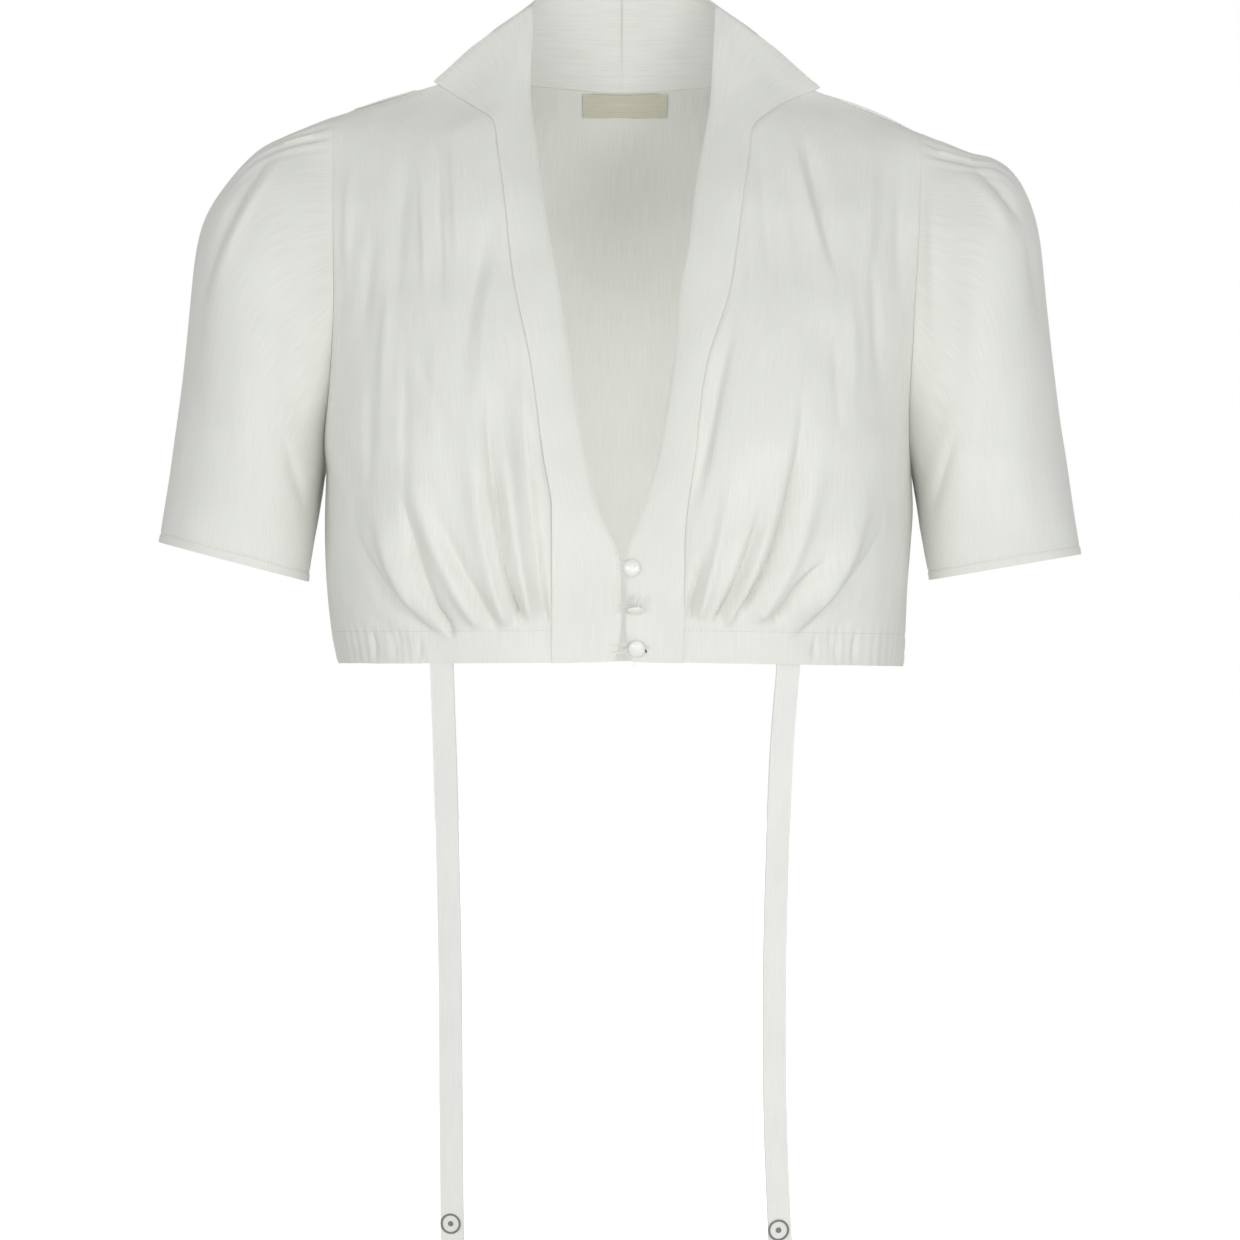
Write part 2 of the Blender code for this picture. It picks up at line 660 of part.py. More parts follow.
def add_loop(button, middle, axis, collars):
    """Lay a cord loop from the left band round the button's shank."""
    side_way = np.array([1.0, 0.0, 0.0])
    cross_way = np.cross(axis, side_way)
    clear = REST_GAP + LOOP_RADIUS
    ends = []
    for rise in (button.loop_rise, button.loop_fall):
        z = button.z + rise
        y = band_front(collars, -LOOP_START, z) - clear
        ends.append([np.array([LOOP_START, y, z]), np.array([LOOP_START / 2, y, z])])
    points = list(ends[0])
    for degrees in range(110, -111, -22):
        turn = math.radians(degrees)
        offset = math.cos(turn) * side_way + math.sin(turn) * cross_way
        points.append(middle + LOOP_TURN * offset)
    points += ends[1][::-1]
    route = along(smooth(points, 3), 18)
    curve = bpy.data.curves.new("loop_" + button.name, "CURVE")
    curve.dimensions = "3D"
    curve.bevel_depth = LOOP_RADIUS * MM
    curve.bevel_resolution = 1
    curve.use_fill_caps = True
    spline = curve.splines.new("POLY")
    spline.points.add(len(route) - 1)
    for point, place in zip(spline.points, route):
        point.co = (*(place * MM), 1.0)
    made = bpy.data.objects.new("loop_" + button.name, curve)
    curve.materials.append(material("loop_" + button.name, CLOTH_COLOUR, 0.7))
    blouse.objects.link(made)


def add_buttons(collars):
    for button in BUTTONS:
        tilt = math.radians(button.tilt)
        axis = np.array([0.0, -math.cos(tilt), -math.sin(tilt)])
        band_y = band_front(collars, button.out, button.z)
        rim_back = BUTTON_RADIUS * math.sin(tilt) - SHANK_HEIGHT * math.cos(tilt)
        forward = REST_GAP + max(0.0, rim_back)
        base = np.array([button.out, band_y - forward, button.z])
        base -= axis * [0, 0, BUTTON_HEIGHT / 2]
        add_button(button, base)
        add_loop(button, base + axis * SHANK_HEIGHT / 2, axis, collars)


def add_tie(side, front):
    """Hang a flat tie behind the front's hem, with a slanted tip."""
    hem = front[-1]
    hem_out, hem_y = np.abs(hem[:, 0]), hem[:, 1]
    points = TIES[side]
    reach = TIE_WIDTH / 2
    near, far = np.interp([points[0].out - reach, points[0].out + reach], hem_out, hem_y)
    tie_y = (near + far) / 2 + WALL + REST_GAP + TIE_REST[side]
    slope = SIGN[side] * (far - near)
    middle = [[points[0].out, tie_y, points[0].z + TIE_TUCK]]
    middle += [[point.out, tie_y, point.z] for point in points]
    middle = along(smooth(middle, 4), TIE_ROWS)
    grid = np.zeros((len(middle), 3, 3))
    for row, (out, y, z) in enumerate(middle):
        slant = TIE_SLANT if row == len(middle) - 1 else 0.0
        for column, share in enumerate((-0.5, 0.0, 0.5)):
            x = SIGN[side] * out + share * TIE_WIDTH
            lift = -SIGN[side] * share * 2 * slant
            grid[row, column] = [x, y + share * slope, z - lift]
    cloth("tie_" + side, grid, TIE_WALL, flip=True)


for old in list(bpy.data.objects):
    bpy.data.objects.remove(old)

blouse = bpy.data.collections.new("dirndl_blouse")
bpy.context.scene.collection.children.link(blouse)

back_panel = back_grid()
shoulder_pulls = list(np.linspace(SHOULDER_PULL, NECK_POINT_PULL, SHOULDER_COLUMNS + 1))
neck_pulls = [SEAM_PULL] * (2 * NECK_COLUMNS - 1)
back_sides = side_pull(len(back_panel))
back_cloth = pull_back(
    back_panel,
    top=shoulder_pulls + neck_pulls + shoulder_pulls[::-1],
    inner=back_sides,
    outer=back_sides,
)
cloth("back", back_cloth, WALL)
add_label(back_panel)

bands = []
for half in ("left", "right"):
    mirrored = half == "right"
    front_panel = front_grid(half)
    front_sides = side_pull(len(front_panel))
    front_top = np.linspace(NECK_POINT_PULL, SHOULDER_PULL, FRONT_COLUMNS + 1)
    front_cloth = pull_back(front_panel, top=front_top, inner=SEAM_PULL, outer=front_sides)
    cloth("front_" + half, front_cloth, WALL, flip=mirrored)
    band = collar_grid(half)
    bands.append(band)
    band_cloth = pull_back(band, inner=SEAM_PULL, bottom=CENTRE_PULL)
    cloth("collar_" + half, band_cloth, COLLAR_WALL, flip=mirrored)
    sleeve = pull_back(sleeve_grid(half), top=ARMHOLE_PULL)
    cloth("sleeve_" + half, sleeve, WALL, flip=not mirrored, ring=True)
    add_tie(half, front_panel)

add_buttons(bands)
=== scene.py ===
# A short dirndl blouse in off-white slub crepe, in its hollow worn form, with a standing shawl
# collar that runs on as the front band, three shank buttons in cord loops and two flat ties.
from collections import namedtuple
import math

import bmesh
import bpy
import numpy as np
from mathutils import Matrix, Vector, noise


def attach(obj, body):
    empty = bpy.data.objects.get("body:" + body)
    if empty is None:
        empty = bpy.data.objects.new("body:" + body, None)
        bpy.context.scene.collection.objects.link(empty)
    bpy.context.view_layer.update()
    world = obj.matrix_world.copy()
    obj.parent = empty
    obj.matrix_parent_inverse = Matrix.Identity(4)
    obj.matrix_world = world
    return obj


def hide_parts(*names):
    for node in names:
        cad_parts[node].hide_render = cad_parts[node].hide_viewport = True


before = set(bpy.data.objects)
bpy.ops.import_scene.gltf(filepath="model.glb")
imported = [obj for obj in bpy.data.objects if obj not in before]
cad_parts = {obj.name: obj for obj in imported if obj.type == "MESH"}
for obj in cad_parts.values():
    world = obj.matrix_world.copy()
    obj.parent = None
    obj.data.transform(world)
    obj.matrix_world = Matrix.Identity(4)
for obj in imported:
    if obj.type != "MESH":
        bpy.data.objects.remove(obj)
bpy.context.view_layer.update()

MM = 0.001
SIGN = {"left": -1.0, "right": 1.0}


# Camera, light and floor: a level product view from the front, with even white studio light from
# all round and a soft key from the lower right that draws the folds.
PHOTO_PIXELS = 1240
MM_PER_PIXEL = 0.66
CAMERA_DISTANCE = 4.5
SENSOR_MM = 36.0
VIEW_X, VIEW_Z = -0.0013, -0.3564
FLOOR_Z = -0.90
FLOOR_SIZE = 14.0


def linear(hex_colour):
    """Turn an sRGB hex colour into the linear one that a shader takes."""
    channels = [int(hex_colour[place:place + 2], 16) / 255 for place in (1, 3, 5)]
    bent = [c / 12.92 if c <= 0.04045 else ((c + 0.055) / 1.055) ** 2.4 for c in channels]
    return (*bent, 1.0)


def node(tree, kind, settings=None, **links):
    """Add one node with its settings, and link or set the inputs that are named."""
    made = tree.nodes.new(kind)
    for name, value in (settings or {}).items():
        setattr(made, name, value)
    for name, value in links.items():
        socket = made.inputs[name.replace("_", " ")]
        if isinstance(value, bpy.types.NodeSocket):
            tree.links.new(value, socket)
        else:
            socket.default_value = value
    return made


def blank_material(name):
    """Start a material that holds only a shader and its output."""
    made = bpy.data.materials.new(name)
    made.use_nodes = True
    made.node_tree.nodes.clear()
    shader = node(made.node_tree, "ShaderNodeBsdfPrincipled")
    node(made.node_tree, "ShaderNodeOutputMaterial", Surface=shader.outputs["BSDF"])
    return made, made.node_tree, shader


camera_data = bpy.data.cameras.new("camera")
camera_data.sensor_width = SENSOR_MM
camera_data.lens = SENSOR_MM * CAMERA_DISTANCE / (PHOTO_PIXELS * MM_PER_PIXEL * MM)
camera_data.clip_end = 60.0
camera = bpy.data.objects.new("camera", camera_data)
camera.location = (VIEW_X, -CAMERA_DISTANCE, VIEW_Z)
camera.rotation_euler = (math.radians(90), 0.0, 0.0)
bpy.context.scene.collection.objects.link(camera)
bpy.context.scene.camera = camera

bpy.context.scene.view_settings.view_transform = "Standard"

world = bpy.data.worlds.new("studio")
bpy.context.scene.world = world
world.use_nodes = True
world.node_tree.nodes.clear()
seen = node(world.node_tree, "ShaderNodeLightPath").outputs["Is Camera Ray"]
strength = node(world.node_tree, "ShaderNodeMix", {"data_type": "FLOAT"}, Factor=seen, A=0.55, B=1.0)
glow = node(world.node_tree, "ShaderNodeBackground", Color=(1, 1, 1, 1), Strength=strength.outputs[0])
node(world.node_tree, "ShaderNodeOutputWorld", Surface=glow.outputs["Background"])

Light = namedtuple("Light", "name place size energy")

LIGHTS = [
    Light("right key", (2.0, -3.8, -0.8), 1.4, 60.0),
    Light("left fill", (-2.0, -3.8, -0.5), 1.8, 38.0),
    Light("near front", (0.08, -1.05, -0.45), 0.5, 1.3),
    Light("rear", (0.4, 2.6, 1.4), 2.4, 12.0),
]
for light in LIGHTS:
    light_data = bpy.data.lights.new(light.name, "AREA")
    light_data.size = light.size
    light_data.energy = light.energy
    lamp = bpy.data.objects.new(light.name, light_data)
    lamp.visible_camera = False
    lamp.location = light.place
    aim = Vector((0.0, 0.0, -0.25)) - Vector(light.place)
    lamp.rotation_euler = aim.to_track_quat("-Z", "Y").to_euler()
    bpy.context.scene.collection.objects.link(lamp)

# Thin crepe lets daylight through, so a small soft light hangs inside and faces only the back
inner_data = bpy.data.lights.new("light through the cloth", "AREA")
inner_data.shape = "RECTANGLE"
inner_data.size = 0.2
inner_data.size_y = 0.26
inner_data.energy = 0.11
inner_light = bpy.data.objects.new("light through the cloth", inner_data)
inner_light.location = (0.0, 0.02, -0.24)
inner_light.rotation_euler = (math.radians(90), 0.0, 0.0)
inner_light.visible_camera = False
bpy.context.scene.collection.objects.link(inner_light)

floor_mesh = bpy.data.meshes.new("floor")
floor_sheet = bmesh.new()
bmesh.ops.create_grid(floor_sheet, x_segments=1, y_segments=1, size=FLOOR_SIZE)
bmesh.ops.translate(floor_sheet, verts=floor_sheet.verts, vec=(0, 0, FLOOR_Z))
floor_sheet.to_mesh(floor_mesh)
floor_sheet.free()
floor = bpy.data.objects.new("floor", floor_mesh)
bpy.context.scene.collection.objects.link(floor)
floor_paint, floor_tree, floor_shader = blank_material("white studio floor")
floor_shader.inputs["Base Color"].default_value = linear("#F4F4F4")
floor_shader.inputs["Roughness"].default_value = 0.9
floor_shader.inputs["Emission Color"].default_value = (1, 1, 1, 1)
floor_seen = node(floor_tree, "ShaderNodeLightPath").outputs["Is Camera Ray"]
floor_tree.links.new(floor_seen, floor_shader.inputs["Emission Strength"])
floor_mesh.materials.append(floor_paint)


# Ties: two flat bias-cut tapes of the blouse's own crepe, folded and stitched along both edges,
# sewn inside the hem and hanging free to slanted tips.
TIE_WIDTH = 15.0
TIE_WALL = 1.2
TIE_TUCK = 8.0
TIE_SLANT = 6.5
RIM_ANGLE = 55
TIE_STEPS = 60
TIE_COLUMNS = 16
TIE_ROUTES = {
    "left": [(116.8, -379), (116.8, -387), (113.9, -475), (111.5, -585), (110.9, -673), (110.0, -764)],
    "right": [(107.6, -381), (107.6, -389), (103.0, -450), (99.2, -570), (99.3, -673), (102.8, -766)],
}
TIE_DEPTH = {"left": (-88.9, -7.4), "right": (-90.2, 6.4)}


def smooth(points, steps):
    """Sample an even curve through the points, with this many steps between two of them."""
    points = [np.array(point, float) for point in points]
    before = 2 * points[0] - points[1]
    after = 2 * points[-1] - points[-2]
    padded = [before] + points + [after]
    sampled = []
    for index in range(len(points) - 1):
        p0, p1, p2, p3 = padded[index:index + 4]
        for step in range(steps):
            t = step / steps
            sampled.append(
                p1
                + 0.5 * t * (p2 - p0)
                + t * t * (p0 - 2.5 * p1 + 2 * p2 - 0.5 * p3)
                + t ** 3 * (1.5 * (p1 - p2) + 0.5 * (p3 - p0))
            )
    sampled.append(points[-1])
    return np.array(sampled)


def along(points, count):
    """Share out this many even steps along a sampled curve."""
    lengths = np.linalg.norm(np.diff(points, axis=0), axis=1)
    reach = np.concatenate([[0.0], np.cumsum(lengths)])
    wanted = np.linspace(0.0, reach[-1], count + 1)
    return np.column_stack([np.interp(wanted, reach, points[:, axis]) for axis in range(3)])


def add_piece(name, shell, finish, slot_name, *nodes):
    """Turn a bmesh into a shown piece that rides on the blouse and stands for its CAD nodes."""
    mesh = bpy.data.meshes.new(name)
    shell.to_mesh(mesh)
    shell.free()
    mesh.shade_smooth()
    mesh.set_sharp_from_angle(angle=math.radians(RIM_ANGLE))
    mesh.materials.append(finish)
    piece = bpy.data.objects.new(name, mesh)
    bpy.context.scene.collection.objects.link(piece)
    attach(piece, "root")
    if nodes:
        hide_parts(*nodes)
    return piece


def cloth_sheet(grid, threads, outward, wall):
    """Bend a flat grid over rows of points in mm and give it the cloth's wall, inwards.

    Its UV map counts metres along the threads.
    """
    rows, columns = grid.shape[:2]
    shell = bmesh.new()
    weave = shell.loops.layers.uv.new("weave")
    bmesh.ops.create_grid(shell, x_segments=columns - 1, y_segments=rows - 1, size=0.5)
    for vert in shell.verts:
        column = round((vert.co.x + 0.5) * (columns - 1))
        row = round((0.5 - vert.co.y) * (rows - 1))
        vert.index = row * columns + column
    for face in shell.faces:
        for loop in face.loops:
            row, column = divmod(loop.vert.index, columns)
            loop[weave].uv = threads[row, column]
    for vert in shell.verts:
        row, column = divmod(vert.index, columns)
        vert.co = grid[row, column] * MM
    bmesh.ops.remove_doubles(shell, verts=shell.verts, dist=1e-6)
    if outward:
        bmesh.ops.reverse_faces(shell, faces=shell.faces)
    shell.normal_update()
    bmesh.ops.solidify(shell, geom=shell.faces[:], thickness=wall * MM)
    return shell


def even_threads(grid):
    """Count metres along the threads of a grid, one thread to each column."""
    rows, columns = grid.shape[:2]
    width = np.linalg.norm(np.diff(grid, axis=1), axis=2).sum(axis=1).mean()
    down = np.linalg.norm(np.diff(grid, axis=0), axis=2).mean(axis=1)
    reach = np.concatenate([[0.0], np.cumsum(down)])
    across = np.linspace(0.0, width, columns)
    return np.stack(np.meshgrid(across, -reach), axis=2) * MM


# Slub crepe is a light viscose and linen cloth, woven with uneven upright yarns and left matt.
# It gives the eye an off-white ground with faint upright streaks and a soft, dry surface.
CREPE_LIT = "#E9EAE5"
CREPE_DIM = "#E2E4DD"
DOUBLED_LIT = "#E9EAE5"
DOUBLED_DIM = "#E2E4DD"
SLUB_WIDTH_MM = 0.9
SLUB_LENGTH_MM = 26.0
THREAD_MM = 0.8
CLOUD_MM = 45.0


def slub_crepe(name, lit=CREPE_LIT, dim=CREPE_DIM, relief=0.35):
    made, tree, shader = blank_material(name)
    threads = node(tree, "ShaderNodeUVMap", {"uv_map": "weave"}).outputs["UV"]
    slub_scale = (1 / (SLUB_WIDTH_MM * MM), 1 / (SLUB_LENGTH_MM * MM), 1.0)
    slub_place = node(tree, "ShaderNodeMapping", Vector=threads, Scale=slub_scale)
    slubs = node(
        tree, "ShaderNodeTexNoise", Vector=slub_place.outputs["Vector"], Scale=1.0, Detail=2.0
    )
    # The real thread is finer than a pixel of the render, so it is drawn coarse enough to show
    thread_scale = (1 / (THREAD_MM * MM), 1 / (THREAD_MM * MM), 1.0)
    thread_place = node(tree, "ShaderNodeMapping", Vector=threads, Scale=thread_scale)
    grains = node(
        tree, "ShaderNodeTexNoise", Vector=thread_place.outputs["Vector"], Scale=1.0, Detail=1.0
    )
    place = node(tree, "ShaderNodeTexCoord").outputs["Object"]
    clouds = node(tree, "ShaderNodeTexNoise", Vector=place, Scale=1 / (CLOUD_MM * MM), Detail=1.0)
    ramp = node(tree, "ShaderNodeMapRange", Value=slubs.outputs["Fac"], From_Min=0.3, From_Max=0.7)
    mixed = node(
        tree,
        "ShaderNodeMix",
        {"data_type": "RGBA"},
        Factor=ramp.outputs["Result"],
    )
    mixed.inputs[6].default_value = linear(dim)
    mixed.inputs[7].default_value = linear(lit)
    tone = node(
        tree,
        "ShaderNodeMapRange",
        Value=clouds.outputs["Fac"],
        From_Min=0.3,
        From_Max=0.7,
        To_Min=0.975,
        To_Max=1.01,
    )
    shaded = node(
        tree,
        "ShaderNodeHueSaturation",
        Value=tone.outputs["Result"],
        Color=mixed.outputs[2],
    )
    tree.links.new(shaded.outputs["Color"], shader.inputs["Base Color"])
    height = node(
        tree,
        "ShaderNodeMath",
        {"operation": "ADD"},
    )
    tree.links.new(slubs.outputs["Fac"], height.inputs[0])
    tree.links.new(grains.outputs["Fac"], height.inputs[1])
    bump = node(
        tree,
        "ShaderNodeBump",
        Height=height.outputs["Value"],
        Strength=relief,
        Distance=0.0002,
    )
    tree.links.new(bump.outputs["Normal"], shader.inputs["Normal"])
    shader.inputs["Roughness"].default_value = 0.88
    shader.inputs["Sheen Weight"].default_value = 0.12
    shader.inputs["Sheen Roughness"].default_value = 0.5
    shader.inputs["Specular IOR Level"].default_value = 0.25
    return made


crepe = slub_crepe("off-white slub crepe")
doubled_crepe = slub_crepe("doubled slub crepe", DOUBLED_LIT, DOUBLED_DIM, 0.3)
tape_crepe = slub_crepe("off-white crepe tape", "#EDEEEA", "#E8E9E4", 0.2)

for side, route in TIE_ROUTES.items():
    depth, slope = TIE_DEPTH[side]
    middle = smooth([[SIGN[side] * out, depth, z] for out, z in route], 8)
    middle = along(middle, TIE_STEPS)
    shares = np.linspace(-0.5, 0.5, TIE_COLUMNS + 1)
    tape = np.zeros((TIE_STEPS + 1, TIE_COLUMNS + 1, 3))
    for row, point in enumerate(middle):
        to_tip = (TIE_STEPS - row) / TIE_STEPS * np.linalg.norm(np.diff(middle, axis=0), axis=1).sum()
        slant = TIE_SLANT * max(0.0, 1 - to_tip / 14.0)
        for column, share in enumerate(shares):
            lift = -SIGN[side] * share * 2 * slant
            edge_fold = 0.25 * math.exp(-((abs(share) - 0.40) / 0.03) ** 2)
            tape[row, column] = point + [share * TIE_WIDTH, share * slope + edge_fold, -lift]
    shell = cloth_sheet(tape, even_threads(tape), False, TIE_WALL)
    tie = add_piece("tie_tape_" + side, shell, tape_crepe, "tie", "tie_" + side)


# Fronts: each is one piece of crepe, pleated into the waist seam under the bust so that its
# fullness hangs over the waist, and drawn in at the side by elastic in the hem.
WALL = 1.2
FRONT_STEPS = 12
FRONT_COLUMNS = 200
UNDERARM_ROW = 10

Row = namedtuple(
    "Row",
    "name seam_out seam_y seam_z edge_out edge_y edge_z "
    "side_out side_y side_z full_in full_out wide",
)
FRONT_ROWS = {
    "left": [
        Row("neck point", 122, 12, -2, 60, 24, 50, 191, 18, -23, 0, 0, 0),
        Row("collar side", 110, 2, -10, 59.5, 15, 33, 190.5, 5, -28, 1, 1, 1),
        Row("collar front", 97, -12, -19, 60.7, 5, 12, 190, -7, -40, 4, 4, 3),
        Row("collar corner", 84.5, -26, -29, 60.7, -7, -14, 190, -19, -62, 8, 8, 5),
        Row("upper chest", 81, -42, -50, 56.7, -28, -45, 189.5, -31, -88, 12, 14, 8),
        Row("chest", 76.6, -62, -80, 52.8, -50, -76, 189, -39, -120, 16, 20, 12),
        Row("armhole", 72, -80, -119, 46.5, -74, -115, 188.5, -45, -148, 24, 27, 16),
        Row("over bust", 68, -95, -146, 41.6, -88, -142, 189.5, -46, -176, 34, 36, 22),
        Row("bust", 58.7, -112, -191, 34.5, -103, -187, 192, -39, -207, 50, 48, 30),
        Row("full bust", 50.8, -122, -250, 25.5, -112, -245, 195.5, -24, -237, 70, 64, 42),
        Row("underarm", 45.5, -122, -278, 18.8, -114, -276, 195, -2, -258, 72, 68, 46),
        Row("under bust", 45.1, -121, -298, 10.8, -115, -297, 196, 0, -284, 70, 66, 45),
        Row("top button", 44.9, -118, -315, 2.8, -115, -314, 196, 0, -308, 66, 64, 43),
        Row("overhang", 44.9, -115, -338, 1.4, -113, -337, 195, 0, -332, 62, 58, 41),
        Row("waist seam", 44.9, -111, -362, 1.2, -111, -362, 192.5, 0, -357, 38, 45, 37),
        Row("hem", 44.9, -108, -384, 5.5, -108, -383, 187, 0, -385, 36, 45, 36),
    ],
    "right": [
        Row("neck point", 128, 12, -6, 62, 24, 50, 198, 18, -34, 0, 0, 0),
        Row("collar side", 113, 2, -12, 61.5, 15, 33, 197.5, 5, -39, 1, 1, 1),
        Row("collar front", 98, -12, -21, 60.5, 5, 12, 197, -7, -51, 4, 4, 3),
        Row("collar corner", 86, -26, -33, 58.8, -8, -16, 196, -19, -72, 8, 8, 5),
        Row("upper chest", 83, -42, -53, 53.6, -28, -46, 195, -31, -97, 12, 14, 8),
        Row("chest", 79, -62, -80, 48.6, -50, -76, 193.4, -37, -124, 16, 20, 12),
        Row("armhole", 73.5, -80, -119, 43.9, -74, -115, 191.5, -44, -150, 24, 27, 16),
        Row("over bust", 68, -95, -149, 38.3, -88, -145, 190, -46, -178, 34, 36, 22),
        Row("bust", 54, -112, -194, 33.9, -103, -190, 188.5, -40, -208, 50, 48, 30),
        Row("full bust", 47.5, -122, -248, 25.2, -112, -245, 188.5, -25, -238, 70, 64, 42),
        Row("underarm", 43, -122, -277, 16.6, -114, -276, 191, -2, -260, 72, 68, 46),
        Row("under bust", 40.6, -121, -298, 10, -115, -297, 192, 0, -284, 70, 66, 45),
        Row("top button", 40, -118, -315, 3.8, -115, -314, 190.5, 0, -308, 66, 64, 43),
        Row("overhang", 39.7, -115, -338, 3.4, -113, -337, 188.6, 0, -332, 62, 58, 41),
        Row("waist seam", 39.3, -111, -362, 3.0, -111, -362, 187.4, 0, -357, 38, 45, 37),
        Row("hem", 38.3, -108, -384, 7.0, -108, -383, 185.5, 0, -387, 36, 45, 36),
    ],
}

Fold = namedtuple(
    "Fold",
    "name low_out low_z bend_out bend_z top_out top_z inner outer height crisp",
)

# Folds as seen from the front, each on a curve from its low end to its top. A positive height is
# a ridge and a negative one a hollow. Its flanks towards the middle and towards the side are
# inner and outer mm wide, and crisp turns a soft fold into a pressed one. Pleats start sharply
# at the waist seam and open upwards, and drapes fade out at both ends.
FRONT_PLEATS = {
    "left": [
        Fold("pleat A hollow", 46.5, -362, 57, -300, 66, -165, 4, 13, -6.5, 0.3),
        Fold("pleat A ridge", 57, -361, 75, -300, 77, -190, 8, 7, 4.5, 0.0),
        Fold("pleat B crease", 63.5, -362, 84, -315, 88, -185, 8, 3.2, -7.5, 0.4),
        Fold("pleat B ridge", 71, -362, 98, -315, 96, -185, 7, 11, 5.5, 0.0),
        Fold("pleat C crease", 80, -363, 104, -330, 134, -262, 8, 5, -5.0, 0.3),
        Fold("pleat C ridge", 89, -362, 118, -328, 141, -240, 8, 10, 5.0, 0.0),
        Fold("pleat D crease", 108, -368, 134, -337, 144, -262, 8, 3.2, -7.5, 0.4),
    ],
    "right": [
        Fold("pleat A crease", 41, -358, 45, -335, 53, -304, 3, 6, -5.5, 0.4),
        Fold("pleat A ridge", 49, -358, 61, -326, 76, -240, 6, 7, 3.8, 0.0),
        Fold("pleat B crease", 58.5, -360, 76, -331, 98, -262, 3.2, 7, -6.5, 0.4),
        Fold("pleat B ridge", 66, -361, 90, -330, 107, -238, 7, 6, 3.6, 0.0),
        Fold("pleat C crease", 70, -358, 117, -306, 117, -190, 4.2, 8, -8.0, 0.4),
        Fold("pleat C ridge", 84, -359, 119, -325, 131, -225, 9, 9, 4.5, 0.0),
        Fold("pleat D crease", 97, -359, 112, -333, 142, -311, 3.2, 8, -7.5, 0.4),
    ],
}
FRONT_DRAPES = {
    "left": [
        Fold("overhang ridge", 112, -362, 146, -344, 162, -275, 15, 8, 8.5, 0.0),
        Fold("overhang edge", 103, -373, 154, -358, 177, -290, 4, 12, -6.5, 0.4),
        Fold("under overhang", 128, -380, 150, -372, 168, -340, 9, 9, -2.0, 0.0),
        Fold("side gather 1", 131, -386, 131, -377, 132, -364, 3, 3, -1.8, 0.6),
        Fold("side gather 2", 160, -386, 161, -374, 164, -358, 4, 3, -2.2, 0.6),
        Fold("side gather 3", 146, -386, 147, -376, 149, -366, 3, 3, -1.2, 0.6),
        Fold("chest crease", 99, -228, 108, -160, 79, -80, 10, 6, -4.4, 0.2),
        Fold("chest ridge", 84, -235, 96, -165, 78, -98, 7, 9, 2.6, 0.0),
        Fold("bust hollow", 111, -242, 120, -214, 137, -176, 9, 6, -2.4, 0.0),
        Fold("upper ridge 1", 105, -150, 107, -95, 113, -18, 6, 5, 3.0, 0.0),
        Fold("upper hollow 1", 116, -165, 118, -110, 121, -38, 4, 4, -2.4, 0.2),
        Fold("upper ridge 2", 127, -160, 128, -110, 132, -46, 5, 4, 2.4, 0.0),
        Fold("shoulder hollow", 149, -165, 146, -105, 139, -32, 8, 9, -3.0, 0.0),
        Fold("shoulder ridge", 155, -250, 153, -165, 150, -112, 6, 6, 2.0, 0.0),
        Fold("armhole hollow", 169, -190, 167, -135, 160, -92, 7, 6, -2.4, 0.0),
        Fold("armhole ridge", 181, -150, 179, -95, 180, -48, 5, 5, 1.8, 0.0),
        Fold("long hollow 1", 139, -300, 141, -225, 140, -150, 6, 4, -1.4, 0.0),
        Fold("long hollow 2", 163, -290, 164, -235, 162, -190, 6, 5, -1.5, 0.0),
        Fold("long ridge", 120, -270, 121, -205, 123, -165, 6, 6, 1.3, 0.0),
    ],
    "right": [
        Fold("pleat A hollow", 45, -300, 54, -225, 76, -145, 7, 6, -4.0, 0.0),
        Fold("overhang ridge", 104, -361, 144, -342, 162, -262, 14, 8, 8.0, 0.0),
        Fold("overhang edge", 97, -374, 146, -356, 172, -288, 4, 12, -6.5, 0.4),
        Fold("under overhang", 120, -381, 138, -370, 158, -342, 9, 9, -2.2, 0.0),
        Fold("side gather 1", 124, -386, 124, -376, 128, -362, 4, 4, -2.0, 0.6),
        Fold("side gather 2", 151, -386, 151, -375, 154, -360, 3, 3, -2.0, 0.6),
        Fold("side gather 3", 138, -386, 138, -377, 141, -368, 3, 3, -1.2, 0.6),
        Fold("upper crease", 144, -148, 128, -88, 117, -26, 6, 9, -5.0, 0.3),
        Fold("upper ridge", 134, -130, 118, -80, 110, -28, 8, 5, 2.8, 0.0),
        Fold("chest hollow", 98, -170, 96, -95, 88, -28, 6, 6, -2.6, 0.0),
        Fold("chest ridge", 84, -190, 84, -120, 82, -50, 7, 6, 1.6, 0.0),
        Fold("shoulder ridge", 157, -165, 161, -85, 167, -44, 8, 7, 2.6, 0.0),
        Fold("armhole hollow", 182, -160, 180, -95, 184, -50, 6, 5, -2.2, 0.0),
        Fold("long ridge 1", 150, -235, 150, -175, 147, -125, 6, 6, 1.8, 0.0),
        Fold("long hollow 1", 168, -222, 166, -165, 161, -105, 6, 5, -2.2, 0.0),
        Fold("long hollow 2", 139, -250, 140, -200, 136, -160, 5, 5, -1.4, 0.0),
        Fold("long hollow 3", 117, -150, 115, -105, 108, -62, 5, 5, -1.4, 0.0),
    ],
}
PLEAT_RISE = 0.1
FOLD_FADE = 0.45
HEM_RISE = 21.0
RIPPLE_MM = 0.5
SWELL_MM = 1.2
STITCH_PITCH = 2.6
STITCH_LENGTH = 1.9
STITCH_RADIUS = 0.22


def placed(side, out, y, z):
    return np.array([SIGN[side] * out, y, z], float)


